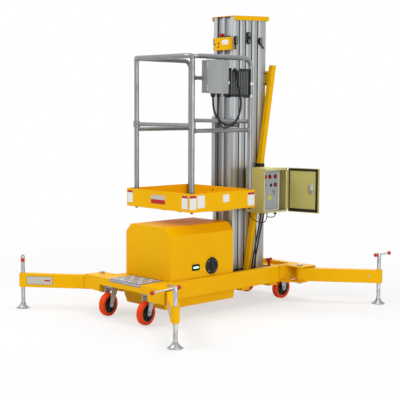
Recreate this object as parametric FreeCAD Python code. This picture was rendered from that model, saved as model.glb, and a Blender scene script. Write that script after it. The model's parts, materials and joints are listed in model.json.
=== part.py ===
import FreeCAD, Part
import math
import os

# Push-around vertical mast lift. Millimetres, +Z up, +X from the mast towards the platform,
# +Y to the machine's left. The origin is on the floor, midway between the four foot pads.

os.makedirs("parts", exist_ok=True)
V = FreeCAD.Vector

# Clearances
RUN_GAP = 0.1        # radial, pin in its bore
SEAT_GAP = 0.3       # between moving pieces that rest on each other
SLIDE_GAP = 0.5      # wear pad in its channel

# Chassis
RAIL_TOP = 250.0
RAIL_BOTTOM = 138.0
RAIL_OUTER = 240.0   # half width over the rails
RAIL_WIDTH = 35.0
RAIL_INNER = RAIL_OUTER - RAIL_WIDTH
FRAME_END = 700.0
RAIL_FRONT = 552.0
DECK_DEPTH = 50.0
DECK_WALL = 6.0
DECK_REAR = 505.0
CROSS_BAR = 26.0
CASTER_PLATE = 5.0
CASTER_SEAT = RAIL_TOP - DECK_DEPTH
BASE_FRONT = -140.0
BASE_REAR = -570.0
BASE_THICK = 10.0
CROSS_BOTTOM = 110.0
BEAM_WIDTH = 50.0

# Step plate
STEP_HALF = 150.0
STEP_Y = 22.0
STEP_REAR = 520.0
STEP_THICK = 3.0
STEP_LIP = 16.0

# Belly tray, tapered downwards
TRAY_WALL = 4.0
TRAY_BOTTOM = 70.0
TRAY_TOP = 200.0
TRAY_TOP_BOX = (-105.0, 556.0, 204.0)       # rear x, front x, half width
TRAY_BOTTOM_BOX = (-95.0, 516.0, 190.0)
TRAY_FLANGE = 4.0

# Hood
HOOD_REAR = -61.5
HOOD_FRONT = 499.5
HOOD_HALF = 218.0
HOOD_TOP = 588.0
HOOD_CHAMFER_LOW = 536.0
HOOD_CHAMFER_IN = 50.0
HOOD_WALL = 3.0
INLET_X = 138.0
INLET_Z = 317.0
INLET_RADIUS = 54.0
GAUGE_X = 281.0
GAUGE_Z = 320.0
GAUGE_SIZE = (63.0, 40.0)
PACK_BOX = (0.0, 460.0, 520.0)       # rear x, front x, top
PACK_SIDE = 53.0      # clear of the hood's side
PACK_FLOOR = 25.0     # clear of the edge of the belly tray's floor

# Casters
WHEEL_RADIUS = 75.0
WHEEL_WIDTH = 42.0
TYRE_INNER = 54.0
AXLE_RADIUS = 6.0
FORK_LEG = 4.0
FORK_INNER = 26.0
LEG_TOP = 32.0        # half width of a fork leg at its crown
LEG_END = 17.0        # its radius round the axle
TRAIL = 38.0
SWIVEL_X = 645.0
SWIVEL_Y = 187.0
SWIVEL_HEADING = 12.0
REAR_WHEEL_X = -600.0
REAR_WHEEL_Y = 170.0
KINGPIN_RADIUS = 8.0

# Outriggers
PIVOT_X = 610.0
PIVOT_Y = 335.0
PAD_X = 948.0
PAD_Y = 760.0
ARM_WIDTH = 50.0
ARM_HEIGHT = 90.0
ARM_WALL = 5.0
PLATE = 8.0
PIN_RADIUS = 12.0
BRACKET_OUT = 385.0
STOP_OUT = 395.0
BRACKET_REAR = PIVOT_X - 110
SWING_CUT = 278.0     # inner edge of the lower plate, clear of the caster's swing
ARM_BOTTOM = RAIL_BOTTOM + PLATE + SEAT_GAP
ARM_TOP = ARM_BOTTOM + ARM_HEIGHT

# Jacks
SCREW_RADIUS = 14.0
PAD_RADIUS = 45.0
PAD_RIM = 4.0
PAD_CONE = 26.0
JACK_RISE = 118.0     # screw top over the arm
BAR_DROP = 12.0       # bar below the screw top
BAR_RADIUS = 5.0
BAR_LENGTH = 155.0    # between ball centres
BALL_RADIUS = 14.0
SLID_TAIL = 21.0      # ball centre to screw axis when the bar has slid through

# Mast
MAST_FRONT = -176.0
MAST_HALF = 95.0
SECTION_DEPTH = 51.0
SECTION_GAP = 9.0
SECTION_PITCH = SECTION_DEPTH + SECTION_GAP
FIXED_DEPTH = 92.0
MAST_WALL = 6.0
LIP_OPENING = 62.0
WEB_FRONT = 26.0
STEM_GAP = 5.0        # stem and head to the channel lip
STEM_HALF = LIP_OPENING - STEM_GAP
HEAD_REACH = 21.0     # head past its stem
HEAD_HALF = STEM_HALF + HEAD_REACH
HEAD_THICK = 10.0
GROOVE_WIDTH = 8.0
GROOVE_DEPTH = 1.5
EDGE_CHAMFER = 16.0
RIB_HALF = 8.0
CAP_TOP = 1960.0
CAP_WALL = 3.0
CAP_SKIRT = 30.0
CAP_SIDE = 9.0        # cap past the mast's sides
CAP_NOSE = 8.0        # cap past the mast's front
CAP_TAIL = 12.0       # cap past the mast's back
CAP_RISE = 14.0       # the cap rises towards its back
FRONT_TOP = CAP_TOP - CAP_WALL
FRONT_RISE = 7.0      # front section's top over the others
MAST_TOP = FRONT_TOP - FRONT_RISE
MAST_FOOT = RAIL_TOP - DECK_DEPTH + BASE_THICK
FOOT_GAP = 25.0
SECTION_FOOT = MAST_FOOT + FOOT_GAP
PAD_BLOCK = 110.0
PAD_WIDTH = 23.0
SECTION_COUNT = 5

ANCHORS = (
    # section, start behind its front face, end behind it, drop of its top from the mast's top, length
    (1, 2.0, 37.0, 124.0, 48.0),
    (3, 4.0, 41.0, 92.0, 81.0),
    (5, 2.0, 35.0, 125.0, 56.0),
)
ANCHOR_OUT = 8.0

# Braces
BRACE_SIZE = 35.0
BRACE_SIDE = 5.0      # brace to mast side
BRACE_Y = MAST_HALF + BRACE_SIDE + BRACE_SIZE / 2
BRACE_FOOT_X = -298.0
BRACE_TOP_X = -542.0
BRACE_HEAD = 310.0    # brace top below the mast's top
BRACE_TOP_Z = MAST_TOP - BRACE_HEAD
BRACE_PLATE_DROP = 40.0
BRACE_PLATE_HEIGHT = 100.0
BRACE_SOLE = 8.0      # foot plate thickness
BRACE_SOLE_PAST = 16.0

# Cabinet
CABINET_FRONT = -268.0
CABINET_WIDTH = 233.0
CABINET_INNER = BRACE_Y + BRACE_SIZE / 2
CABINET_DEPTH = 165.0
CABINET_BOTTOM = 636.0
CABINET_HEIGHT = 302.0
CABINET_WALL = 3.0
PANEL_WIDTH = 181.0
PANEL_SET = 30.0      # panel face behind the cabinet's edge
PANEL_THICK = 3.0
BUTTON_RADIUS = 12.0
BUTTON_RISE = 12.0
DOOR_DEPTH = 17.0
DOOR_OPEN = 102.0
HINGE_OFFSET = 5.5
HINGE_PIN = 3.0
HINGE_BARREL = 5.0
HINGE_END = 15.0
KNUCKLE = 50.0
LOCK_WIDTH = 35.0
LOCK_HEIGHT = 70.0
LOCK_DEPTH = 12.0
LOCK_SET = 55.0       # its middle from the door's free edge
LOCK_RISE = 12.0      # its middle over the door's

BUTTONS = (
    # distance behind the cabinet's front, drop below its top
    (45.0, 59.0),
    (91.0, 59.0),
    (145.0, 59.0),
    (50.0, 115.0),
    (97.0, 115.0),
    (148.0, 115.0),
)

# Platform
TRAY_REAR = -160.0
TRAY_LENGTH = 570.0
TRAY_FRONT = TRAY_REAR + TRAY_LENGTH
TRAY_HALF = 319.0
FLOOR_Z = 689.0
TOE_HEIGHT = 117.0
TOE_TOP = FLOOR_Z + TOE_HEIGHT
FLOOR_THICK = 5.0
TOE_WALL = 3.0
HANGER_DROP = 40.0    # bracket arms below the floor
HANGER_RISE = 597.0   # bracket uprights over the floor
ARM_SHORT = 110.0     # bracket arms end behind the tray's front
RAIL_RADIUS = 16.0
MID_RADIUS = 13.5
TOP_RAIL_Z = FLOOR_Z + 978.0
LOOP_BEND = 60.0
POST_INSET_X = 44.0   # front post centre behind the tray's front
POST_INSET_Y = 49.0
RAIL_OFFSET = 18.0    # top rail centre outside the front post's
FRONT_POST_X = TRAY_FRONT - POST_INSET_X
FRONT_POST_Y = TRAY_HALF - POST_INSET_Y
LOOP_FRONT = FRONT_POST_X + RAIL_OFFSET
LOOP_HALF = FRONT_POST_Y + RAIL_OFFSET
MID_RAIL_Z = FLOOR_Z + 511.0
MID_RAIL_Y = FRONT_POST_Y + RAIL_OFFSET / 2
REAR_RAIL_Z = FLOOR_Z + 567.0
BOX_RAIL_DROP = 137.0
BOX_RAIL_Z = TOP_RAIL_Z - BOX_RAIL_DROP
BOX_RAIL_RADIUS = 12.0
REAR_POST_X = TRAY_REAR + TOE_WALL + SEAT_GAP + RAIL_RADIUS
SLEEVE_RADIUS = 22.0
SLEEVE_HEIGHT = 40.0

# What hangs on the rails
CONTROL_DEPTH = 28.0
CONTROL_HALF = 77.0
CONTROL_Y = 8.0
CONTROL_HEIGHT = 84.0
CONTROL_DROP = 133.0  # box top below the mast's top
CONTROL_ROUND = 8.0
STOP_Y = -2.0
STOP_SET = 16.5       # stop button's axis from the mast's front
STOP_RADIUS = 10.0
BOX_BACK = MID_RAIL_Y + BOX_RAIL_RADIUS + SEAT_GAP
OUTLET_REAR = 129.0
OUTLET_WIDTH = 179.0
OUTLET_DEPTH = 62.0
OUTLET_HEIGHT = 209.0
OUTLET_BOTTOM = BOX_RAIL_Z - 96.0
LID_DEPTH = 14.0
LID_GAP = 3.0
CASE_REAR = -90.0
CASE_WIDTH = 205.0
CASE_DEPTH = 40.0
CASE_HEIGHT = 180.0
CASE_BOTTOM = BOX_RAIL_Z - 115.0
CASE_FRAME = 14.0
FIN_DEPTH = 9.0
FIN_THICK = 5.0
FIN_PITCH = 15.0
LONG_CABLE_RADIUS = 6.5
SHORT_CABLE_RADIUS = 5.0
GLAND_PAST = 5.5      # gland radius past its cable's
GLAND_LENGTH = 22.0

CORNERS = (
    # name, side along X, side along Y
    ("front_left", 1, 1),
    ("front_right", 1, -1),
    ("rear_left", -1, 1),
    ("rear_right", -1, -1),
)


def block(x0, x1, y0, y1, z0, z1):
    return Part.makeBox(x1 - x0, y1 - y0, z1 - z0, V(x0, y0, z0))


def rod(start, end, radius):
    a = V(*start)
    b = V(*end)
    return Part.makeCylinder(radius, (b - a).Length, a, b - a)


def outline_face(points):
    return Part.Face(Part.makePolygon([V(*p) for p in points] + [V(*points[0])]))


def prism_z(outline, z0, z1):
    return outline_face([(x, y, z0) for x, y in outline]).extrude(V(0, 0, z1 - z0))


def prism_x(outline, x0, x1):
    return outline_face([(x0, y, z) for y, z in outline]).extrude(V(x1 - x0, 0, 0))


def prism_y(outline, y0, y1):
    return outline_face([(x, y0, z) for x, z in outline]).extrude(V(0, y1 - y0, 0))


def join(first, *others):
    return first.fuse(list(others)).removeSplitter()


def turned(profile, centre, axis=(0, 0, 1)):
    """Revolve a (radius, height) profile about an axis through the centre."""
    face = outline_face([(r, 0, h) for r, h in profile])
    solid = face.revolve(V(0, 0, 0), V(0, 0, 1), 360)
    turn = FreeCAD.Rotation(V(0, 0, 1), V(*axis))
    solid.Placement = FreeCAD.Placement(V(*centre), turn)
    return solid


def turn_z(shape, angle, centre):
    copy = shape.copy()
    copy.rotate(V(centre[0], centre[1], 0), V(0, 0, 1), angle)
    return copy


def flip_y(shape):
    return shape.mirror(V(0, 0, 0), V(0, 1, 0))


def flip_x(shape):
    return shape.mirror(V(0, 0, 0), V(1, 0, 0))


def place_corner(shape, side_x, side_y):
    """Mirror a front left shape to another corner."""
    result = shape
    if side_x < 0:
        result = flip_x(result)
    if side_y < 0:
        result = flip_y(result)
    return result


def bent_path(points, radius_at):
    """Straight runs joined by tangent arcs; radius_at gives the arc at each inner point."""
    path = [V(*p) for p in points]
    edges = []
    last = path[0]
    for i in range(1, len(path) - 1):
        back = (path[i - 1] - path[i]).normalize()
        on = (path[i + 1] - path[i]).normalize()
        half = (math.pi - back.getAngle(on)) / 2
        radius = radius_at(i, half)
        reach = radius * math.tan(half)
        start = path[i] + back * reach
        end = path[i] + on * reach
        middle_way = (back + on).normalize()
        middle = path[i] + middle_way * (radius / math.cos(half) - radius)
        edges.append(Part.LineSegment(last, start).toShape())
        edges.append(Part.Arc(start, middle, end).toShape())
        last = end
    edges.append(Part.LineSegment(last, path[-1]).toShape())
    return Part.Wire(edges)


def swept(wire, start, direction, radius):
    ring = Part.Wire(Part.makeCircle(radius, V(*start), direction))
    return wire.makePipeShell([ring], True, False)


def bent_tube(points, bend, radius):
    wire = bent_path(points, lambda i, half: bend)
    first = V(*points[1]) - V(*points[0])
    return swept(wire, points[0], first, radius)


def cord_tube(name, points, radius):
    """A cord's route: each arc is as large as its two runs allow."""
    runs = [(V(*b) - V(*a)).Length for a, b in zip(points, points[1:])]
    radii = []

    def radius_at(i, half):
        size = 0.45 * min(runs[i - 1], runs[i]) / math.tan(half)
        radii.append(round(size))
        return size

    wire = bent_path(points, radius_at)
    first = V(*points[1]) - V(*points[0])
    tube = swept(wire, points[0], first, radius)
    share = tube.Volume / (math.pi * radius ** 2 * wire.Length)
    print(name, "length", round(wire.Length), "radii", radii, "volume share", round(share, 4))
    return tube


def save(name, *solids):
    shape = solids[0] if len(solids) == 1 else Part.makeCompound(list(solids))
    shape.exportStep("parts/" + name + ".step")


def build_chassis():
    rail = block(-FRAME_END, RAIL_FRONT, RAIL_INNER, RAIL_OUTER, RAIL_BOTTOM, RAIL_TOP)
    save("side_rails", rail, flip_y(rail))

    low = CASTER_SEAT
    deck = block(RAIL_FRONT, FRAME_END + PLATE, -RAIL_OUTER, RAIL_OUTER, low, RAIL_TOP)
    deck = deck.cut(block(RAIL_FRONT + DECK_WALL, FRAME_END, -RAIL_OUTER + DECK_WALL,
                          RAIL_OUTER - DECK_WALL, low, RAIL_TOP - DECK_WALL))
    bars = [
        block(x, x + CROSS_BAR, -RAIL_OUTER + DECK_WALL, RAIL_OUTER - DECK_WALL, low,
              RAIL_TOP - DECK_WALL)
        for x in (SWIVEL_X - 48, SWIVEL_X + 48 - CROSS_BAR)
    ]
    sill = block(DECK_REAR, RAIL_FRONT, -RAIL_INNER, RAIL_INNER, RAIL_TOP - DECK_WALL, RAIL_TOP)
    save("front_deck", join(deck, sill, *bars))

    base_top = low + BASE_THICK
    plate = block(BASE_REAR, BASE_FRONT, -RAIL_INNER, RAIL_INNER, low, base_top)
    members = [
        block(x0, x1, -RAIL_INNER, RAIL_INNER, CROSS_BOTTOM, low)
        for x0, x1 in ((-520.0, -440.0), (-240.0, -160.0))
    ]
    shelf = block(-FRAME_END + BEAM_WIDTH, BASE_REAR, -RAIL_INNER, RAIL_INNER, low, low + 25)
    beam = block(-FRAME_END, -FRAME_END + BEAM_WIDTH, -RAIL_INNER, RAIL_INNER, RAIL_BOTTOM,
                 RAIL_TOP)
    save("mast_base", join(plate, shelf, beam, *members))

    plates = [place_corner(solid, sx, sy) for _, sx, sy in CORNERS for solid in bracket()]
    save("outrigger_brackets", *plates)
    save("pivot_pins", *[place_corner(pivot_pin(), sx, sy) for _, sx, sy in CORNERS])

    y0, y1 = STEP_Y - STEP_HALF, STEP_Y + STEP_HALF
    front = FRAME_END + PLATE
    step = block(STEP_REAR, front + STEP_THICK, y0, y1, RAIL_TOP, RAIL_TOP + STEP_THICK)
    lip = block(front, front + STEP_THICK, y0, y1, RAIL_TOP - STEP_LIP, RAIL_TOP + STEP_THICK)
    save("step_plate", join(step, lip))


def bracket():
    """One corner bracket: a top plate on its web and stop plate, and a plate under the arm."""
    web_out = RAIL_OUTER + PLATE
    front = FRAME_END + PLATE
    high = CASTER_SEAT - 43
    web = block(BRACKET_REAR, front, RAIL_OUTER, web_out, high, RAIL_TOP)
    top_outline = (
        (PIVOT_X - 48, web_out), (front, web_out), (front, STOP_OUT),
        (front - 12, STOP_OUT), (PIVOT_X + 40, BRACKET_OUT), (PIVOT_X - 30, BRACKET_OUT),
        (PIVOT_X - 48, BRACKET_OUT - 25),
    )
    top = prism_z(top_outline, RAIL_TOP - PLATE, RAIL_TOP)
    # The lower plate is cut back where the caster swings
    low_outline = (
        (BRACKET_REAR, RAIL_OUTER), (BRACKET_REAR + 40, RAIL_OUTER), (PIVOT_X - 12, SWING_CUT),
        (PIVOT_X + 40, SWING_CUT), (PIVOT_X + 40, BRACKET_OUT - 15), (PIVOT_X + 25, BRACKET_OUT),
        (PIVOT_X - 30, BRACKET_OUT), (PIVOT_X - 48, BRACKET_OUT - 25),
    )
    low = prism_z(low_outline, RAIL_BOTTOM, RAIL_BOTTOM + PLATE)
    stop = block(FRAME_END, front, web_out, STOP_OUT, high, RAIL_TOP - PLATE)
    bore = rod((PIVOT_X, PIVOT_Y, RAIL_BOTTOM - 1), (PIVOT_X, PIVOT_Y, RAIL_TOP + 1),
               PIN_RADIUS + RUN_GAP)
    return join(web, top, stop).cut(bore), low.cut(bore)


def hexagon(across, centre, z0, z1):
    radius = across / math.sqrt(3)
    outline = [
        (centre[0] + radius * math.cos(math.radians(60 * i)),
         centre[1] + radius * math.sin(math.radians(60 * i)))
        for i in range(6)
    ]
    return prism_z(outline, z0, z1)


def pivot_pin():
    centre = (PIVOT_X, PIVOT_Y)
    shank = rod((*centre, RAIL_BOTTOM - 14), (*centre, RAIL_TOP + 2), PIN_RADIUS)
    head = hexagon(34.0, centre, RAIL_TOP, RAIL_TOP + 12)
    nut = hexagon(34.0, centre, RAIL_BOTTOM - 12, RAIL_BOTTOM)
    return join(shank, head, nut)


def build_belly_tray():
    def loft(inset, bottom, top):
        wires = []
        for (rear, front, half), z in ((TRAY_BOTTOM_BOX, bottom), (TRAY_TOP_BOX, top)):
            corners = [
                V(rear + inset, -half + inset, z), V(front - inset, -half + inset, z),
                V(front - inset, half - inset, z), V(rear + inset, half - inset, z),
            ]
            wires.append(Part.makePolygon(corners + [corners[0]]))
        return Part.makeLoft(wires, True, True)

    outer = loft(0, TRAY_BOTTOM, TRAY_TOP)
    inner = loft(TRAY_WALL, TRAY_BOTTOM + TRAY_WALL, TRAY_TOP + TRAY_WALL)
    rear, front, _ = TRAY_TOP_BOX
    rim = block(rear, front, -RAIL_INNER, RAIL_INNER, TRAY_TOP - TRAY_FLANGE, TRAY_TOP)
    rim = rim.cut(block(rear + 8, front - 8, -RAIL_INNER + 8, RAIL_INNER - 8, TRAY_TOP - 10,
                        TRAY_TOP + 10))
    save("belly_tray", join(outer.cut(inner), rim))
    rear, front, top = PACK_BOX
    half = min(HOOD_HALF - PACK_SIDE, TRAY_BOTTOM_BOX[2] - PACK_FLOOR)
    save("power_pack", block(rear, front, -half, half, TRAY_BOTTOM + TRAY_WALL, top))


def hood_outline(inset):
    side = HOOD_HALF - inset
    top = HOOD_TOP - inset
    shoulder = HOOD_CHAMFER_LOW - inset * 0.4
    in_top = HOOD_HALF - HOOD_CHAMFER_IN - inset * 0.4
    low = RAIL_TOP if inset == 0 else RAIL_TOP - 1
    return ((-side, low), (side, low), (side, shoulder), (in_top, top), (-in_top, top),
            (-side, shoulder))


def build_hood():
    outer = prism_x(hood_outline(0), HOOD_REAR, HOOD_FRONT)
    inner = prism_x(hood_outline(HOOD_WALL), HOOD_REAR + HOOD_WALL, HOOD_FRONT - HOOD_WALL)
    cup = INLET_RADIUS - 10
    hole = rod((INLET_X, HOOD_HALF - 10, INLET_Z), (INLET_X, HOOD_HALF + 5, INLET_Z), cup + 0.5)
    save("hood", outer.cut(inner).cut(hole))

    inlet = turned(
        ((0, -30), (cup, -30), (cup, 0), (INLET_RADIUS, 0), (INLET_RADIUS - 3, 7), (cup - 6, 7),
         (cup - 6, -24), (16, -24), (16, 2), (0, 2)),
        (INLET_X, HOOD_HALF, INLET_Z), (0, 1, 0))
    save("charge_inlet", inlet)
    wide, tall = GAUGE_SIZE
    gauge = block(GAUGE_X - wide / 2, GAUGE_X + wide / 2, HOOD_HALF, HOOD_HALF + 4,
                  GAUGE_Z - tall / 2, GAUGE_Z + tall / 2)
    corners = [e for e in gauge.Edges if abs(e.tangentAt(e.FirstParameter).y) > 0.9]
    save("battery_gauge", gauge.makeFillet(6, corners))


def wheel_pieces():
    """Tyre and hub round the Y axis, at the origin."""
    half = WHEEL_WIDTH / 2
    tyre = turned(
        ((TYRE_INNER, -half + 3), (WHEEL_RADIUS - 7, -half), (WHEEL_RADIUS - 2, -half + 6),
         (WHEEL_RADIUS, -5), (WHEEL_RADIUS, 5), (WHEEL_RADIUS - 2, half - 6),
         (WHEEL_RADIUS - 7, half), (TYRE_INNER, half - 3)),
        (0, 0, 0), (0, 1, 0))
    bore = AXLE_RADIUS + RUN_GAP
    boss = FORK_INNER - SLIDE_GAP
    hub = turned(
        ((bore, -boss), (16, -boss), (16, -8), (40, -6), (44, -half + 5), (TYRE_INNER, -half + 4),
         (TYRE_INNER, half - 4), (44, half - 5), (40, 6), (16, 8), (16, boss), (bore, boss)),
        (0, 0, 0), (0, 1, 0))
    return tyre, hub


def fork(trail):
    """Fork with its axle, swivel axis at the origin, crown under the swivel ring."""
    crown_top = CASTER_SEAT - CASTER_PLATE - 8 - SLIDE_GAP
    crown = block(-LEG_TOP, LEG_TOP, -FORK_INNER - FORK_LEG, FORK_INNER + FORK_LEG, crown_top - 6,
                  crown_top)
    leg_outline = ((-LEG_TOP, crown_top), (LEG_TOP, crown_top), (trail + LEG_END, WHEEL_RADIUS),
                   (trail - LEG_END, WHEEL_RADIUS))
    legs = []
    for inner in (FORK_INNER, -FORK_INNER - FORK_LEG):
        legs.append(prism_y(leg_outline, inner, inner + FORK_LEG))
        legs.append(rod((trail, inner, WHEEL_RADIUS), (trail, inner + FORK_LEG, WHEEL_RADIUS),
                        LEG_END))
    reach = FORK_INNER + FORK_LEG + 5
    axle = rod((trail, -reach, WHEEL_RADIUS), (trail, reach, WHEEL_RADIUS), AXLE_RADIUS)
    nuts = [rod((trail, y, WHEEL_RADIUS), (trail, y + 5, WHEEL_RADIUS), 10)
            for y in (reach - 5, -reach)]
    return join(crown, axle, *legs, *nuts), crown_top


def caster_plate(centre, bored):
    x, y = centre
    plate = block(x - 50, x + 50, y - 42, y + 42, CASTER_SEAT - CASTER_PLATE, CASTER_SEAT)
    ring = rod((x, y, CASTER_SEAT - CASTER_PLATE - 8), (x, y, CASTER_SEAT), 30)
    pieces = [ring]
    if bored:
        pieces.append(rod((x, y, CASTER_SEAT - 34), (x, y, CASTER_SEAT), KINGPIN_RADIUS))
    return join(plate, *pieces)


def build_casters():
    tyre, hub = wheel_pieces()
    front, crown_top = fork(TRAIL)
    bore = rod((0, 0, crown_top - 20), (0, 0, crown_top + 5), KINGPIN_RADIUS + RUN_GAP)
    front = front.cut(bore)
    plates = []
    for side, word in ((1, "left"), (-1, "right")):
        swivel = (SWIVEL_X, side * SWIVEL_Y)
        plates.append(caster_plate(swivel, True))
        for name, piece in (("fork", front), ("tyre", tyre), ("hub", hub)):
            move = piece.copy()
            if name != "fork":
                move.translate(V(TRAIL, 0, WHEEL_RADIUS))
            move = turn_z(move, SWIVEL_HEADING, (0, 0))
            move.translate(V(*swivel, 0))
            save(name + "_front_" + word, move)
    save("caster_plates", *plates)

    rear, crown_top = fork(0)
    rear_forks = []
    for side, word in ((1, "left"), (-1, "right")):
        place = V(REAR_WHEEL_X, side * REAR_WHEEL_Y, 0)
        solid = rear.copy()
        solid.translate(place)
        neck = rod((place.x, place.y, crown_top - 1), (place.x, place.y, CASTER_SEAT - 10), 24)
        plate = block(place.x - 50, place.x + 50, place.y - 30, place.y + 30,
                      CASTER_SEAT - CASTER_PLATE, CASTER_SEAT)
        ring = rod((place.x, place.y, CASTER_SEAT - 14), (place.x, place.y, CASTER_SEAT), 24)
        rear_forks.append(join(solid, neck, ring, plate))
        for name, piece in (("tyre", tyre), ("hub", hub)):
            move = piece.copy()
            move.translate(place + V(0, 0, WHEEL_RADIUS))
            save(name + "_rear_" + word, move)
    save("rear_forks", *rear_forks)


JACK_BARS = (
    # corner, direction of the bar's long side in degrees, droop in degrees, side that has slid out
    ("front_left", -30.0, 10.0, "slid"),
    ("front_right", 236.0, 0.0, "short"),
    ("rear_left", 180.0, 0.0, "level"),
    ("rear_right", 180.0, 0.0, "level"),
)


def arm_angle(side_x, side_y):
    return math.degrees(math.atan2(side_y * (PAD_Y - PIVOT_Y), side_x * (PAD_X - PIVOT_X)))


def build_outriggers():
    length = math.hypot(PAD_X - PIVOT_X, PAD_Y - PIVOT_Y)
    half = ARM_WIDTH / 2
    tube = block(0, length, -half, half, ARM_BOTTOM, ARM_TOP)
    inner = block(half + ARM_WALL, length - half, -half + ARM_WALL, half - ARM_WALL,
                  ARM_BOTTOM + ARM_WALL, ARM_TOP - ARM_WALL)
    knuckle = rod((0, 0, ARM_BOTTOM), (0, 0, ARM_TOP), half)
    sleeve = rod((length, 0, ARM_BOTTOM), (length, 0, ARM_TOP), half)
    arm = join(tube, knuckle, sleeve).cut(inner)
    for x, radius in ((0, PIN_RADIUS), (length, SCREW_RADIUS)):
        arm = arm.cut(rod((x, 0, ARM_BOTTOM - 1), (x, 0, ARM_TOP + 1), radius + RUN_GAP))
    for name, sx, sy in CORNERS:
        placed = turn_z(arm, arm_angle(sx, sy), (0, 0))
        placed.translate(V(sx * PIVOT_X, sy * PIVOT_Y, 0))
        save("arm_" + name, placed)

    slid = next((angle, droop) for _, angle, droop, how in JACK_BARS if how == "slid")
    level_side = (BAR_LENGTH - SLID_TAIL) * math.cos(math.radians(slid[0]))
    level_side *= math.cos(math.radians(slid[1]))
    long_sides = {"slid": BAR_LENGTH - SLID_TAIL, "short": 1.7 * SLID_TAIL, "level": level_side}
    places = {name: (sx * PAD_X, sy * PAD_Y) for name, sx, sy in CORNERS}
    for name, angle, droop, how in JACK_BARS:
        save("jack_" + name, jack(places[name], angle, long_sides[how], droop))


def jack(centre, angle, long_side, droop):
    top = ARM_TOP + JACK_RISE
    foot = turned(
        ((0, 0), (PAD_RADIUS, 0), (PAD_RADIUS, PAD_RIM), (SCREW_RADIUS + 4, PAD_CONE),
         (SCREW_RADIUS + 4, PAD_CONE + 8), (SCREW_RADIUS, PAD_CONE + 12), (SCREW_RADIUS, top - 2),
         (SCREW_RADIUS - 2, top), (0, top)),
        (*centre, 0))
    flat = math.cos(math.radians(angle))
    level = math.cos(math.radians(droop))
    along = V(flat * level, math.sin(math.radians(angle)) * level, -math.sin(math.radians(droop)))
    middle = V(*centre, top - BAR_DROP)
    tip = middle + along * long_side
    tail = middle - along * (BAR_LENGTH - long_side)
    bar = rod(tuple(tip), tuple(tail), BAR_RADIUS)
    balls = [Part.makeSphere(BALL_RADIUS, end, along) for end in (tip, tail)]
    return join(foot, bar, *balls)


def section_outline(fixed):
    """Half of a mast profile as (distance behind its front face, y), and its hollows."""
    wall = MAST_HALF - MAST_WALL
    web_back = WEB_FRONT + MAST_WALL
    groove_in = MAST_HALF - GROOVE_DEPTH
    groove_front = (SECTION_DEPTH - GROOVE_WIDTH) / 2
    half = [(WEB_FRONT, wall), (MAST_WALL, wall), (MAST_WALL, LIP_OPENING), (0, LIP_OPENING),
            (0, MAST_HALF), (groove_front, MAST_HALF), (groove_front, groove_in),
            (groove_front + GROOVE_WIDTH, groove_in), (groove_front + GROOVE_WIDTH, MAST_HALF)]
    if fixed:
        half += [(FIXED_DEPTH - EDGE_CHAMFER, MAST_HALF), (FIXED_DEPTH, MAST_HALF - EDGE_CHAMFER)]
        corner = FIXED_DEPTH - EDGE_CHAMFER
        holes = ((web_back, corner, wall), (corner, FIXED_DEPTH - MAST_WALL, wall - EDGE_CHAMFER))
        return half, holes
    head = SECTION_PITCH + MAST_WALL + STEM_GAP
    half += [(SECTION_DEPTH, MAST_HALF), (SECTION_DEPTH, wall), (web_back, wall),
             (web_back, STEM_HALF), (head, STEM_HALF), (head, HEAD_HALF),
             (head + HEAD_THICK, HEAD_HALF)]
    return half, ((web_back, head, STEM_HALF - HEAD_THICK),)


def mast_section(front, z0, z1, fixed=False):
    half, holes = section_outline(fixed)
    left = [(front - s, y) for s, y in half]
    right = [(front - s, -y) for s, y in reversed(half)]
    solid = prism_z(left + right, z0, z1)
    for near, far, side in holes:
        solid = solid.cut(block(front - far, front - near, -side, side, z0 - 1, z1 + 1))
    if fixed:
        return solid
    channel = front - SECTION_PITCH
    pad_front = channel - MAST_WALL - SLIDE_GAP
    pad_back = channel - WEB_FRONT + SLIDE_GAP
    pad_out = MAST_HALF - MAST_WALL - SLIDE_GAP
    pad_in = pad_out - PAD_WIDTH
    pads = [block(pad_back, pad_front, y0, y1, z0, z0 + PAD_BLOCK)
            for y0, y1 in ((pad_in, pad_out), (-pad_out, -pad_in))]
    return join(solid, *pads)


def section_fronts():
    """Front face of each section, from 1, the fixed one, to the one that carries the platform."""
    return {n: MAST_FRONT - SECTION_PITCH * (SECTION_COUNT - n)
            for n in range(1, SECTION_COUNT + 1)}


def anchor(front, start, end, top, length):
    """A cable anchor on a section's left side: base plate, clamp block and two eyes."""
    middle = front - (start + end) / 2
    half = (end - start) / 2
    foot = top - length
    out = MAST_HALF + ANCHOR_OUT
    base = prism_y(
        ((middle - half, foot + half / 2), (middle - half / 2, foot), (middle + half / 2, foot),
         (middle + half, foot + half / 2), (middle + half, top - half / 2),
         (middle + half / 2, top), (middle - half / 2, top), (middle - half, top - half / 2)),
        MAST_HALF, out)
    eyes = [rod((middle, MAST_HALF, z), (middle, out + ANCHOR_OUT / 2, z), half * 0.7)
            for z in (foot + half, top - half)]
    return join(base, *eyes)


def mast_cap(rear, front):
    """Folded cover with skirts at its sides and back, open at the front."""
    slope = CAP_RISE / (front - rear)
    half = MAST_HALF + CAP_SIDE

    def cover(x0, x1, z0, z1, side):
        outline = ((x0, z0 + slope * (front - x0)), (x1, z0 + slope * (front - x1)),
                   (x1, z1 + slope * (front - x1)), (x0, z1 + slope * (front - x0)))
        return prism_y(outline, -side, side)

    lid = cover(rear, front, CAP_TOP - CAP_SKIRT, CAP_TOP, half)
    corners = [e for e in lid.Edges if e.BoundBox.XMax < rear + 1 and e.BoundBox.YLength < 1]
    lid = lid.makeFillet(CAP_SIDE, corners)
    return lid.cut(cover(rear + CAP_WALL, front + 1, CAP_TOP - CAP_SKIRT - 1, FRONT_TOP,
                         half - CAP_WALL))


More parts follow.
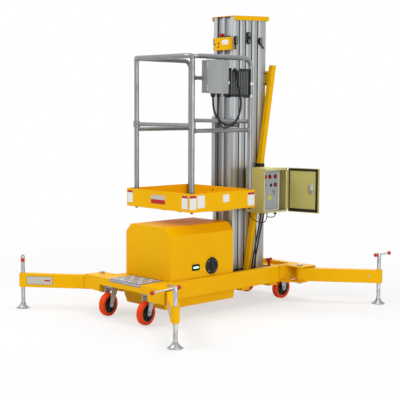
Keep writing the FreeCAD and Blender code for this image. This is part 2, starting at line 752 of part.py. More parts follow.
def build_mast():
    fronts = section_fronts()
    save("mast_1", mast_section(fronts[1], MAST_FOOT, MAST_TOP, True))
    for n in range(2, SECTION_COUNT):
        save("mast_%d" % n, mast_section(fronts[n], SECTION_FOOT, MAST_TOP))
    front = mast_section(fronts[SECTION_COUNT], SECTION_FOOT, FRONT_TOP)
    rib = block(MAST_FRONT - WEB_FRONT - 1, MAST_FRONT, -RIB_HALF, RIB_HALF, SECTION_FOOT,
                FRONT_TOP)
    save("mast_%d" % SECTION_COUNT, join(front, rib))
    for n, start, end, drop, length in ANCHORS:
        piece = anchor(fronts[n], start, end, MAST_TOP - drop, length)
        save("mast_%d_anchors" % n, piece, flip_y(piece))

    back = fronts[1] - FIXED_DEPTH
    save("mast_cap", mast_cap(back - CAP_TAIL, MAST_FRONT + CAP_NOSE))

    lean = (BRACE_TOP_X - BRACE_FOOT_X) / (BRACE_TOP_Z - MAST_FOOT)
    wide = BRACE_SIZE / 2 * math.sqrt(1 + lean ** 2)
    outline = ((BRACE_FOOT_X - wide, MAST_FOOT), (BRACE_FOOT_X + wide, MAST_FOOT),
               (BRACE_TOP_X + wide, BRACE_TOP_Z), (BRACE_TOP_X - wide, BRACE_TOP_Z))
    brace = prism_y(outline, BRACE_Y - BRACE_SIZE / 2, BRACE_Y + BRACE_SIZE / 2)
    reach = wide + BRACE_SOLE_PAST
    sole = block(BRACE_FOOT_X - reach, BRACE_FOOT_X + reach, BRACE_Y - BRACE_SIZE / 2,
                 BRACE_Y + BRACE_SIZE / 2, MAST_FOOT, MAST_FOOT + BRACE_SOLE)
    brace = join(brace, sole)
    side = BRACE_Y + BRACE_SIZE / 2
    high = BRACE_TOP_Z - BRACE_PLATE_DROP
    plate = block(back - PLATE, back, -side, side, high - BRACE_PLATE_HEIGHT, high)
    save("mast_braces", join(brace, flip_y(brace), plate))


CABINET_CORDS = (
    # name, radius, route
    ("cabinet_cable", 6.0, (
        (-364, 186, CABINET_BOTTOM), (-364, 186, 600), (-361, 176, 545), (-346, 168, 455),
        (-328, 165, 370), (-308, 165, 295), (-300, 165, 252), (-300, 165, MAST_FOOT))),
    ("cabinet_cable_rear", 6.0, (
        (-391, 186, CABINET_BOTTOM), (-391, 186, 600), (-384, 176, 545), (-367, 168, 455),
        (-350, 165, 370), (-333, 165, 295), (-326, 165, 252), (-326, 165, MAST_FOOT))),
    ("cabinet_loop", 3.0, (
        (-282, 158, CABINET_BOTTOM), (-282, 158, 616), (-288, 168, 596), (-304, 188, 576),
        (-332, 201, 563), (-364, 205, 558), (-391, 205, 566), (-406, 203, 587),
        (-409, 202, 612), (-409, 202, CABINET_BOTTOM))),
)


def build_cabinet():
    x1 = CABINET_FRONT
    x0 = x1 - CABINET_WIDTH
    y0 = CABINET_INNER
    y1 = y0 + CABINET_DEPTH
    z0 = CABINET_BOTTOM
    z1 = z0 + CABINET_HEIGHT
    wall = CABINET_WALL
    shell = block(x0, x1, y0, y1, z0, z1)
    shell = shell.cut(block(x0 + wall, x1 - wall, y0 + wall, y1 + 1, z0 + wall, z1 - wall))
    hinge = (x0 - HINGE_OFFSET, y1)
    low, high = z0 + HINGE_END, z1 - HINGE_END
    pieces = [rod((*hinge, low), (*hinge, high), HINGE_PIN)]
    for start in (low, high - KNUCKLE):
        pieces.append(rod((*hinge, start), (*hinge, start + KNUCKLE), HINGE_BARREL))
        pieces.append(block(hinge[0], x0, y1 - 4 * wall, y1 - wall, start, start + KNUCKLE))
    save("cabinet", join(shell, *pieces))

    face = y1 - PANEL_SET
    panel_x = x1 - 2 * wall - PANEL_WIDTH
    panel = block(panel_x, x1 - 2 * wall, face - PANEL_THICK, face, z0 + wall, z1 - wall)
    fold = block(panel_x, panel_x + PANEL_THICK, y0 + wall, face, z0 + wall, z1 - wall)
    save("cabinet_panel", join(panel, fold))
    buttons = []
    for back, drop in BUTTONS:
        x, z = x1 - back, z1 - drop
        buttons.append(turned(
            ((0, 0), (BUTTON_RADIUS, 0), (BUTTON_RADIUS, BUTTON_RISE / 3),
             (BUTTON_RADIUS * 0.7, BUTTON_RISE / 3), (BUTTON_RADIUS * 0.7, BUTTON_RISE),
             (0, BUTTON_RISE)), (x, face, z), (0, 1, 0)))
    save("cabinet_controls", *buttons)

    low_y = y1 + SLIDE_GAP
    rim = low_y + DOOR_DEPTH
    door = block(x0 + SLIDE_GAP, x1, low_y, rim, z0, z1)
    edge = wall + 1
    door = door.cut(block(x0 + edge, x1 - edge, low_y - 1, rim - wall, z0 + edge, z1 - edge))
    low, high = low + KNUCKLE + HINGE_BARREL, high - KNUCKLE - HINGE_BARREL
    barrel = rod((*hinge, low), (*hinge, high), HINGE_BARREL)
    leaf = block(hinge[0], x0 + 2, low_y + wall / 2, low_y + wall * 1.5, low, high)
    door = join(door, barrel, leaf).cut(rod((*hinge, z0), (*hinge, z1), HINGE_PIN + RUN_GAP))
    save("cabinet_door", turn_z(door, DOOR_OPEN, hinge))
    lock_z = z0 + (CABINET_HEIGHT - LOCK_HEIGHT) / 2 + LOCK_RISE
    lock_x = x1 - LOCK_SET
    lock = block(lock_x - LOCK_WIDTH / 2, lock_x + LOCK_WIDTH / 2, low_y - LOCK_DEPTH, rim - wall,
                 lock_z, lock_z + LOCK_HEIGHT)
    save("door_lock", turn_z(lock, DOOR_OPEN, hinge))

    build_valve()
    for name, radius, route in CABINET_CORDS:
        save(name, cord_tube(name, route, radius))


VALVE_X = -547.0
VALVE_Y = 100.0
VALVE_RISE = 62.0
VALVE_STEM = 8.0
VALVE_HANDLE = 50.0
VALVE_THICK = 12.0


def build_valve():
    """Emergency lowering valve with its T handle, beside the mast's foot."""
    top = MAST_FOOT + VALVE_RISE
    stem = turned(
        ((0, 0), (VALVE_STEM * 1.8, 0), (VALVE_STEM * 1.8, VALVE_RISE / 4),
         (VALVE_STEM, VALVE_RISE / 4), (VALVE_STEM, VALVE_RISE), (0, VALVE_RISE)),
        (VALVE_X, VALVE_Y, MAST_FOOT))
    half = VALVE_HANDLE / 2
    handle = block(VALVE_X - half, VALVE_X + half, VALVE_Y - VALVE_THICK / 2,
                   VALVE_Y + VALVE_THICK / 2, top, top + VALVE_THICK)
    save("release_valve", join(stem, handle))


def build_platform():
    x0, x1 = TRAY_REAR, TRAY_FRONT
    shell = block(x0, x1, -TRAY_HALF, TRAY_HALF, FLOOR_Z, TOE_TOP)
    inside = block(x0 + TOE_WALL, x1 - TOE_WALL, -TRAY_HALF + TOE_WALL, TRAY_HALF - TOE_WALL,
                   FLOOR_Z + FLOOR_THICK, TOE_TOP + 1)
    save("platform_tray", shell.cut(inside))

    bar_front = x0 - SEAT_GAP
    low = FLOOR_Z - HANGER_DROP
    pieces = []
    for side in (1, -1):
        y0, y1 = sorted((side * LIP_OPENING, side * MAST_HALF))
        pieces.append(block(MAST_FRONT, bar_front, y0, y1, low, FLOOR_Z + HANGER_RISE))
        arm = prism_y(
            ((MAST_FRONT, low), (x0 + ARM_SHORT, low), (x1 - ARM_SHORT, FLOOR_Z - HANGER_DROP / 2),
             (x1 - ARM_SHORT, FLOOR_Z), (MAST_FRONT, FLOOR_Z)), y0, y1)
        pieces.append(arm)
    tie = block(MAST_FRONT, bar_front, -LIP_OPENING, LIP_OPENING, low, FLOOR_Z + HANGER_DROP)
    save("platform_bracket", join(tie, *pieces))

    save("guardrail", guardrail())
    save("gate_bar", gate_bar())

    top = MAST_TOP - CONTROL_DROP
    box_front = MAST_FRONT + CONTROL_DEPTH
    box = block(MAST_FRONT, box_front, CONTROL_Y - CONTROL_HALF, CONTROL_Y + CONTROL_HALF,
                top - CONTROL_HEIGHT, top)
    corners = [e for e in box.Edges if e.BoundBox.XMin > box_front - 1 and e.BoundBox.YLength < 1]
    box = box.makeFillet(CONTROL_ROUND, corners)
    save("upper_control_box", box)
    stop = turned(
        ((0, 0), (STOP_RADIUS, 0), (STOP_RADIUS, 9), (STOP_RADIUS + 5, 9), (STOP_RADIUS + 5, 18),
         (STOP_RADIUS - 1, 24), (0, 25)),
        (MAST_FRONT + STOP_SET, STOP_Y, top))
    save("upper_stop_button", stop)

    build_power_boxes(bar_front)


def guardrail():
    floor = FLOOR_Z + FLOOR_THICK
    loop = bent_tube(
        ((REAR_POST_X, LOOP_HALF, floor), (REAR_POST_X, LOOP_HALF, TOP_RAIL_Z),
         (LOOP_FRONT, LOOP_HALF, TOP_RAIL_Z), (LOOP_FRONT, -LOOP_HALF, TOP_RAIL_Z),
         (REAR_POST_X, -LOOP_HALF, TOP_RAIL_Z), (REAR_POST_X, -LOOP_HALF, floor)),
        LOOP_BEND, RAIL_RADIUS)
    tubes = [
        rod((REAR_POST_X, -LOOP_HALF, REAR_RAIL_Z), (REAR_POST_X, LOOP_HALF, REAR_RAIL_Z),
            MID_RADIUS),
        rod((REAR_POST_X, MID_RAIL_Y, BOX_RAIL_Z), (FRONT_POST_X, MID_RAIL_Y, BOX_RAIL_Z),
            BOX_RAIL_RADIUS),
    ]
    for side in (1, -1):
        tubes.append(rod((FRONT_POST_X, side * FRONT_POST_Y, floor),
                         (FRONT_POST_X, side * FRONT_POST_Y, TOP_RAIL_Z), RAIL_RADIUS))
        tubes.append(rod((REAR_POST_X, side * MID_RAIL_Y, MID_RAIL_Z),
                         (FRONT_POST_X, side * MID_RAIL_Y, MID_RAIL_Z), MID_RADIUS))
    return join(loop, *tubes)


def gate_bar():
    """Bar with a sleeve at each end, which slides up the front posts."""
    low = MID_RAIL_Z + MID_RADIUS + SEAT_GAP
    bar_z = low + SLEEVE_HEIGHT / 2
    ends = [rod((FRONT_POST_X, y, low), (FRONT_POST_X, y, low + SLEEVE_HEIGHT), SLEEVE_RADIUS)
            for y in (FRONT_POST_Y, -FRONT_POST_Y)]
    gate = join(rod((FRONT_POST_X, -FRONT_POST_Y, bar_z), (FRONT_POST_X, FRONT_POST_Y, bar_z),
                    MID_RADIUS), *ends)
    for y in (FRONT_POST_Y, -FRONT_POST_Y):
        gate = gate.cut(rod((FRONT_POST_X, y, low - 5), (FRONT_POST_X, y, low + SLEEVE_HEIGHT + 5),
                            RAIL_RADIUS + SLIDE_GAP))
    return gate


def build_power_boxes(bar_front):
    """Outlet box and finned case on the left box rail, and the cables from their glands."""
    x0 = OUTLET_REAR
    x1 = x0 + OUTLET_WIDTH
    z0 = OUTLET_BOTTOM
    z1 = z0 + OUTLET_HEIGHT
    front = BOX_BACK + OUTLET_DEPTH
    body = block(x0 + LID_GAP, x1 - LID_GAP, BOX_BACK, front, z0 + LID_GAP, z1 - LID_GAP)
    lid = block(x0, x1, front - LID_DEPTH, front, z0, z1)
    gland_y = BOX_BACK + OUTLET_DEPTH / 2
    long_end = x0 + OUTLET_WIDTH * 0.6
    short_end = x0 + OUTLET_WIDTH * 0.32
    glands = [
        rod((x, gland_y, z0 - GLAND_LENGTH), (x, gland_y, z0 + LID_GAP + 1), radius + GLAND_PAST)
        for x, radius in ((long_end, LONG_CABLE_RADIUS), (short_end, SHORT_CABLE_RADIUS))
    ]
    save("outlet_box", join(body, lid, *glands))

    x0 = CASE_REAR
    x1 = x0 + CASE_WIDTH
    bottom = CASE_BOTTOM
    top = bottom + CASE_HEIGHT
    face = BOX_BACK + CASE_DEPTH
    case = block(x0, x1, BOX_BACK, face, bottom, top)
    frame = [
        block(x0, x1, face, face + FIN_DEPTH, bottom, bottom + CASE_FRAME),
        block(x0, x1, face, face + FIN_DEPTH, top - CASE_FRAME, top),
        block(x0, x0 + CASE_FRAME, face, face + FIN_DEPTH, bottom, top),
        block(x1 - CASE_FRAME, x1, face, face + FIN_DEPTH, bottom, top),
    ]
    count = int((CASE_WIDTH - 2 * CASE_FRAME) / FIN_PITCH)
    first = (x0 + x1) / 2 - (count - 1) * FIN_PITCH / 2 - FIN_THICK / 2
    fins = [block(x, x + FIN_THICK, face, face + FIN_DEPTH * 0.7, bottom, top)
            for x in [first + i * FIN_PITCH for i in range(count)]]
    exit_x = (x0 + x1) / 2 + 37
    exit_y = face + FIN_DEPTH + GLAND_LENGTH / 2
    exit_z = top - 1.6 * GLAND_LENGTH
    thick = LONG_CABLE_RADIUS + GLAND_PAST
    elbow = block(exit_x - thick, exit_x + thick, face, exit_y, top - CASE_FRAME, top)
    gland = rod((exit_x, exit_y, exit_z), (exit_x, exit_y, top), thick)
    save("finned_box", join(case, elbow, gland, *frame, *fins))

    low = z0 - GLAND_LENGTH
    long_route = ((exit_x, exit_y, exit_z), (exit_x, exit_y, 1524), (40, exit_y + 4, 1482),
                  (26, exit_y + 6, 1428), (18, exit_y + 6, 1366), (30, exit_y + 4, 1305),
                  (66, 356, 1252), (125, 343, 1230), (185, 333, 1258), (225, gland_y + 3, 1312),
                  (long_end, gland_y, 1364), (long_end, gland_y, low))
    save("long_cable", cord_tube("long_cable", long_route, LONG_CABLE_RADIUS))
    hook_x = (MAST_FRONT + bar_front) / 2
    short_route = ((short_end, gland_y, low), (short_end, gland_y, 1378), (196, gland_y, 1332),
                   (192, gland_y - 1, 1280), (168, gland_y - 3, 1235), (130, gland_y - 7, 1212),
                   (80, gland_y - 13, 1222), (20, gland_y - 23, 1240), (-40, 272, 1244),
                   (-92, 236, 1234), (-134, 192, 1226), (-160, 148, 1223), (hook_x, 120, 1222),
                   (hook_x, MAST_HALF, 1222))
    save("short_cable", cord_tube("short_cable", short_route, SHORT_CABLE_RADIUS))


build_chassis()
build_belly_tray()
build_hood()
build_casters()
build_outriggers()
build_mast()
build_cabinet()
build_platform()
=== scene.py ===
import json
import math

import bmesh
import bpy
from mathutils import Matrix, Vector


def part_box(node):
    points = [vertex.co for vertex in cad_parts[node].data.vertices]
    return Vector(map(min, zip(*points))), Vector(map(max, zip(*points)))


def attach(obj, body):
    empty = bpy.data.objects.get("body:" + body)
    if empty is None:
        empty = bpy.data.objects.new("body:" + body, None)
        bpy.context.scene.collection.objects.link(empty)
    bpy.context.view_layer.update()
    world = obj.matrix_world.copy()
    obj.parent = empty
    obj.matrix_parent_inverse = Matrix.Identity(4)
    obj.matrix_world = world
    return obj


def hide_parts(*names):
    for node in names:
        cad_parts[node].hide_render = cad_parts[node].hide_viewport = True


# Metres, in the row frame: +X from the mast towards the platform, +Y to the machine's left.
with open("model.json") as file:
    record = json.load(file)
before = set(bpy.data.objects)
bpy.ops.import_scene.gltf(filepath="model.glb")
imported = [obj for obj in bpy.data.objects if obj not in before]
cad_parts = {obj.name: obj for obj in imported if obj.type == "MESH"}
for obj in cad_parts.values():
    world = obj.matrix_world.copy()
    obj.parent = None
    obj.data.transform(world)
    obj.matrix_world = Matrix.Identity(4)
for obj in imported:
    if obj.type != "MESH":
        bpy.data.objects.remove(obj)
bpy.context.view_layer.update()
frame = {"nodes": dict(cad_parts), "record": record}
NODES = frame["nodes"]

CORNERS = (
    # name, side along X, side along Y
    ("front_left", 1, 1),
    ("front_right", 1, -1),
    ("rear_left", -1, 1),
    ("rear_right", -1, -1),
)


def low(node):
    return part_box(node)[0]


def high(node):
    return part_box(node)[1]


# Places that several sections share
PAD_X, PAD_Y = 0.948, 0.76
PIVOT_X, PIVOT_Y = 0.61, 0.335
WHEEL_Z = 0.075
RAIL_OUT = high("side_rails").y
RAIL_TOP = high("side_rails").z
ARM_TOP = low("arm_front_left").z + 0.09
MAST_SIDE = high("mast_1").y
MAST_FRONT = high("mast_5").x
TRAY_LOW, TRAY_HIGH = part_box("platform_tray")
TRAY_SHEET = 0.005
TOP_RAIL = high("guardrail").z - 0.016
FRONT_POST_X, FRONT_POST_Y = 0.366, 0.27
REAR_POST_X, REAR_POST_Y = -0.1407, 0.288
RAIL_Y, MID_RAIL_Z, BOX_RAIL_Z, REAR_RAIL_Z = 0.279, 1.2, 1.53, 1.256
RAIL_RADIUS, BOX_RAIL_RADIUS = 0.0135, 0.012


# Materials

def linear(code):
    """Six hex digits of a screen colour, in linear light."""
    parts = [int(code[i:i + 2], 16) / 255 for i in (0, 2, 4)]
    light = [p / 12.92 if p <= 0.04045 else ((p + 0.055) / 1.055) ** 2.4 for p in parts]
    return (*light, 1)


class Tree:
    """The node tree of a material or a world."""

    def __init__(self, owner, empty=True):
        owner.use_nodes = True
        self.tree = owner.node_tree
        if empty:
            self.tree.nodes.clear()

    def put(self, target, value):
        """Feed an input from another node's output, or give it a value."""
        if isinstance(value, bpy.types.NodeSocket):
            self.tree.links.new(value, target)
        else:
            target.default_value = value

    def node(self, kind, inputs=(), **settings):
        node = self.tree.nodes.new("ShaderNode" + kind)
        for key, value in settings.items():
            setattr(node, key, value)
        for socket, value in dict(inputs).items():
            self.put(node.inputs[socket], value)
        return node

    def math(self, operation, *values):
        return self.node("Math", enumerate(values), operation=operation).outputs[0]

    def spread(self, value, start, end, to_start=0, to_end=1):
        ends = {"From Min": start, "From Max": end, "To Min": to_start, "To Max": to_end}
        return self.node("MapRange", {"Value": value, **ends}).outputs["Result"]

    def mix(self, share, one, two):
        shaders = {1: one.outputs[0], 2: two.outputs[0]}
        return self.node("MixShader", {"Fac": share, **shaders}).outputs[0]


class Finish(Tree):
    """A procedural material, built up node by node."""

    def __init__(self, name, color, roughness, metallic=0, **constants):
        self.material = bpy.data.materials.new(name)
        super().__init__(self.material, empty=False)
        self.shader = self.tree.nodes["Principled BSDF"].inputs
        self.color = linear(color)
        self.normal = None
        constants.update(Base_Color=self.color, Roughness=roughness, Metallic=metallic)
        for socket, value in constants.items():
            self.put(self.shader[socket.replace("_", " ")], value)
        self.where = self.node("TexCoord").outputs["Object"]

    def noise(self, scale, detail=2, stretch=(1, 1, 1)):
        mapping = self.node("Mapping", {"Vector": self.where, "Scale": stretch})
        grain = {"Vector": mapping.outputs[0], "Scale": scale, "Detail": detail}
        return self.node("TexNoise", grain).outputs["Fac"]

    def times(self, a, b):
        return self.math("MULTIPLY", a, b)

    def along(self, axis):
        """A coordinate of the point, X, Y or Z."""
        return self.node("SeparateXYZ", {0: self.where}).outputs[axis]

    def tint(self, share, code):
        """Lay another colour over the base colour where share is high."""
        mix = self.node("Mix", {0: share, 6: self.color, 7: linear(code)}, data_type="RGBA")
        self.color = mix.outputs[2]
        self.put(self.shader["Base Color"], self.color)

    def rough(self, value, smooth, coarse):
        self.put(self.shader["Roughness"], self.spread(value, 0.3, 0.7, smooth, coarse))

    def bevel(self, radius):
        return self.node("Bevel", {"Radius": radius}, samples=4).outputs["Normal"]

    def bend(self, normal):
        self.normal = normal
        self.put(self.shader["Normal"], normal)

    def rounded(self, radius):
        """Catch light along sharp edges as a real small radius does."""
        self.bend(self.bevel(radius))

    def edges(self, radius):
        """How near a sharp edge is, from 0 to 1."""
        true = self.node("NewGeometry").outputs["Normal"]
        dot = self.node("VectorMath", {0: self.bevel(radius), 1: true}, operation="DOT_PRODUCT")
        return self.spread(dot.outputs["Value"], 0.995, 0.8)

    def bump(self, height, distance):
        inputs = {"Height": height, "Distance": distance, "Strength": 1}
        if self.normal is not None:
            inputs["Normal"] = self.normal
        self.bend(self.node("Bump", inputs).outputs["Normal"])


def paint(name, color, shade, worn, roughness=0.4, peel=0.0001):
    """Powder coat: slight drift in colour, orange peel and paler, rubbed edges."""
    finish = Finish(name, color, roughness, Specular_IOR_Level=0.08)
    finish.rounded(0.0016)
    finish.tint(finish.spread(finish.noise(3.1, 3), 0.35, 0.75, 0, 0.4), shade)
    rubbed = finish.times(finish.edges(0.0022), finish.spread(finish.noise(38, 4), 0.42, 0.68))
    finish.tint(rubbed, worn)
    finish.rough(finish.noise(21, 3), roughness - 0.05, roughness + 0.09)
    finish.bump(finish.noise(420, 2), peel)
    return finish


def metal(name, color, dull, roughness, scale=60, grain=(1, 1, 1), edge=0.0008, bare=1):
    """Bare metal whose grain is long where its scale is small; an oxide skin where bare is low."""
    finish = Finish(name, color, roughness, bare)
    if edge:
        finish.rounded(edge)
    streaks = finish.noise(scale, 4, grain)
    finish.tint(finish.spread(streaks, 0.35, 0.7, 0, 0.75), dull)
    finish.rough(streaks, roughness - 0.07, roughness + 0.1)
    if edge:
        finish.bump(streaks, 0.00006)
    return finish


def extrusion():
    """Drawn aluminium; painted highlight and shade bands on the sections' sides, painted shade at
    the rear.
    """
    finish = metal("mast_extrusion", "BEC0C1", "A2A5A7", 0.38, 90, UPRIGHT, bare=0.85)
    x = finish.along("X")
    place = finish.math("MULTIPLY_ADD", x, -1 / SECTION_PITCH, MAST_FRONT / SECTION_PITCH)
    share = finish.math("FRACT", place)
    behind = finish.spread(x, MAST_FRONT - 0.001, MAST_FRONT - 0.003)
    # Painted shade: a darker band on each section's side, behind its front face
    finish.tint(finish.times(finish.spread(share, 0.4, 0.62, 0, 0.5), behind), "8C9092")
    # Painted highlight: a paler band on each section's side
    pale = finish.times(finish.spread(share, 0.05, 0.12, 0, 0.8), finish.spread(share, 0.34, 0.26))
    finish.tint(pale, "D2D3D4")
    # Painted shade: darker towards the mast's rear end
    finish.tint(finish.spread(x, -0.472, -0.49, 0, 0.75), "7B7E80")
    return finish


def finned_casting():
    """Dark casting with paler fins on its outer face."""
    finish = metal("finned_casting", "2C2E30", "222426", 0.5, 160, bare=0.6)
    root = low("finned_box").y + FIN_ROOT
    finish.tint(finish.spread(finish.along("Y"), root, root + 0.0004), "7C7F81")
    return finish


def bracket_coat():
    """Yellow coat on the platform bracket's arms, bare metal on its uprights."""
    finish = paint("bracket_coat", "F4B800", "ECAC00", "F0BE28")
    bare = TRAY_LOW.z + BARE_UPRIGHT
    upright = finish.spread(finish.along("Z"), bare, bare + 0.001)
    finish.tint(upright, "A2A5A7")
    finish.put(finish.shader["Metallic"], upright)
    return finish


def moulded(name, color, scuffed, roughness, grain=700, gloss=0.3):
    """Moulded plastic or rubber with a fine grain and scuffed edges."""
    finish = Finish(name, color, roughness, Specular_IOR_Level=gloss)
    finish.rounded(0.0008)
    scuff = finish.times(finish.edges(0.0015), finish.spread(finish.noise(55, 3), 0.4, 0.7))
    finish.tint(scuff, scuffed)
    finish.rough(finish.noise(14, 3), roughness - 0.06, roughness + 0.1)
    finish.bump(finish.noise(grain, 2), 0.00008)
    return finish


def lamp_glow(name, color, strength):
    finish = Finish(name, color, 0.3, Emission_Color=linear(color), Emission_Strength=strength)
    finish.bump(finish.noise(900), 0.00003)
    return finish


UPRIGHT = (1, 1, 0.012)     # stretch of a grain that runs up the mast
SECTION_PITCH = 0.06
FIN_ROOT = 0.0403           # from the case's inner side
BARE_UPRIGHT = 0.1          # above the tray's underside
FINISHES = {
    "yellow": paint("yellow_coat", "F4B800", "ECAC00", "F0BE28"),
    "bracket": bracket_coat(),
    "olive": paint("olive_coat", "BDB56E", "AEA65E", "D2CC92", 0.42),
    "cream": paint("cabinet_lip_coat", "D6CF94", "CCC488", "DCD6A8", 0.42),
    "panel": paint("panel_coat", "A4A7A6", "979A99", "C2C4C3", 0.45),
    "mast": extrusion(),
    # Painted shade: a darker copy of the mast's aluminium for the recessed front webs
    "web": metal("front_web_painted_shade", "94979A", "7E8184", 0.42, 90, UPRIGHT, bare=0.8),
    "zinc": metal("zinc_plate", "BEC1C3", "9DA1A4", 0.32, 24, bare=0.85),
    "pad": metal("pad_plate", "A4A7A9", "7E8184", 0.4, 24, bare=0.7),
    "tube": metal("rail_tube", "8F9193", "797C7E", 0.3, 9, edge=0, bare=0.8),
    "tread": metal("tread_plate", "8E9096", "787A82", 0.44, 30, bare=0.35),
    "bars": metal("tread_bars", "E4E3E9", "CDCDD4", 0.4, 30, bare=0.1),
    "fork": metal("fork_plate", "C2C5CA", "A0A3A9", 0.38, 24, bare=0.4),
    "box": metal("box_sheet", "A0A2A3", "8D9091", 0.42, 9, (1, 1, 0.4), bare=0.75),
    "bolt": metal("bolt_zinc", "BFC1C0", "8F9392", 0.38, 120, edge=0.0004),
    "housing": metal("cast_housing", "3E4143", "303234", 0.55, 160),
    "fins": finned_casting(),
    "tyre": moulded("polyurethane_tread", "EC4608", "DC5E28", 0.42, 500, 0.12),
    "black": moulded("black_moulding", "17181A", "3C3D3F", 0.46),
    "hub": moulded("wheel_hub", "201D16", "7A7566", 0.38),
    "rubber": moulded("black_rubber", "121314", "2C2D2E", 0.62, 380),
    "seal": moulded("door_seal", "1F160C", "33281A", 0.6, 380),
    "sheath": moulded("cable_sheath", "15161A", "303134", 0.5, 520),
    "red": moulded("red_moulding", "A8140F", "C04A42", 0.32),
    "ball": moulded("red_knob", "C43A10", "C8482C", 0.28, gloss=0.2),
    "pack": moulded("pack_casing", "3A3C3E", "585A5C", 0.55),
    "sign_white": moulded("sign_white", "E9E9E4", "F4F4F2", 0.45),
    "sign_grey": moulded("sign_grey", "C4C0B4", "D0CDC4", 0.45),
    "sign_red": moulded("sign_red", "B5121B", "C4474D", 0.45),
    "sign_yellow": moulded("sign_yellow", "C9D22A", "D8DE70", 0.45),
    "glow": lamp_glow("charge_glow", "B8FFD0", 1.6),
}

SLOTS = {
    # record slot: its finishes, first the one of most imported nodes
    "yellow_paint": "yellow bracket sign_yellow",
    "mast_aluminium": "mast web",
    "zinc_steel": "zinc pad fork bolt",
    "rail_steel": "tube",
    "checker_plate": "tread bars",
    "orange_tyre": "tyre",
    "black_plastic": "black rubber hub seal glow",
    "cabinet_paint": "olive cream",
    "panel_grey": "panel sign_white sign_grey",
    "red_plastic": "red ball sign_red",
    "box_steel": "box",
    "dark_housing": "housing fins",
    "cable_rubber": "sheath",
    "pack_grey": "pack",
}


def dress_nodes():
    """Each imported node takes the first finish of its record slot, unless it has its own."""
    slots = {part["node"]: part["material_slot"] for part in frame["record"]["subparts"]}
    own = {"platform_bracket": "bracket", "finned_box": "fins", "pivot_pins": "bolt",
           "fork_front_left": "fork", "fork_front_right": "fork", "rear_forks": "fork"}
    for name, thing in NODES.items():
        finish = FINISHES[own.get(name, SLOTS[slots[name]].split()[0])]
        thing.data.materials.clear()
        thing.data.materials.append(finish.material)


# Modelling helpers

def aimed(axis, centre=(0, 0, 0)):
    """A frame at the centre whose Z points along the axis."""
    turn = Vector(axis).to_track_quat("Z", "Y").to_matrix().to_4x4()
    return Matrix.Translation(centre) @ turn


def turned_by(degrees, axis="Z"):
    return Matrix.Rotation(math.radians(degrees), 4, axis)


def circle(count, radius, start=0):
    """Evenly spaced points (x, y) on a circle, from a start in degrees."""
    for k in range(count):
        angle = math.radians(start) + math.tau * k / count
        yield radius * math.cos(angle), radius * math.sin(angle)


def mirrored(profile):
    """A profile of (radius, height) points, followed by its mirror image."""
    return profile + [(radius, -height) for radius, height in reversed(profile)]


def sleeve(inner, outer, z0, z1):
    """Profile of a plain ring; a disc if its inner radius is 0."""
    return [(inner, z0), (outer, z0), (outer, z1), (inner, z1)]


def border(outer, inner):
    """The four bars between two rectangles, all as (x0, z0, x1, z1)."""
    (x0, z0, x1, z1), (u0, w0, u1, w1) = outer, inner
    return (x0, z0, u0, z1), (u1, z0, x1, z1), (x0, z0, x1, w0), (x0, w1, x1, z1)


def soften(part, offset, edges=None):
    bmesh.ops.bevel(part, geom=edges or part.edges[:], offset=offset, segments=2,
                    affect="EDGES", profile=0.5)


def skin(part, rings):
    """Faces between each ring of vertices and the next; one vertex makes a point."""
    for one, two in zip(rings, rings[1:]):
        count = max(len(one), len(two))
        for k in range(count):
            n = (k + 1) % count
            corners = (one[k % len(one)], one[n % len(one)], two[n % len(two)], two[k % len(two)])
            unique = list(dict.fromkeys(corners))
            if len(unique) > 2:
                part.faces.new(unique)


def lozenge(half, shoulder, wide):
    """Outline of one raised bar of a tread plate."""
    return [(-half, 0), (-shoulder, -wide), (shoulder, -wide), (half, 0), (shoulder, wide),
            (-shoulder, wide)]


def lattice(a, b, z, pitch, margin=0):
    """Frames on a square grid, each turned by 45 degrees against its neighbours."""
    counts = [int((b[i] - a[i] - margin) / pitch) for i in (0, 1)]
    for i in range(counts[0]):
        for j in range(counts[1]):
            x, y = ((a[n] + b[n]) / 2 + (k - (counts[n] - 1) / 2) * pitch
                    for n, k in ((0, i), (1, j)))
            yield Matrix.Translation((x, y, z)) @ turned_by(45 if (i + j) % 2 else -45)


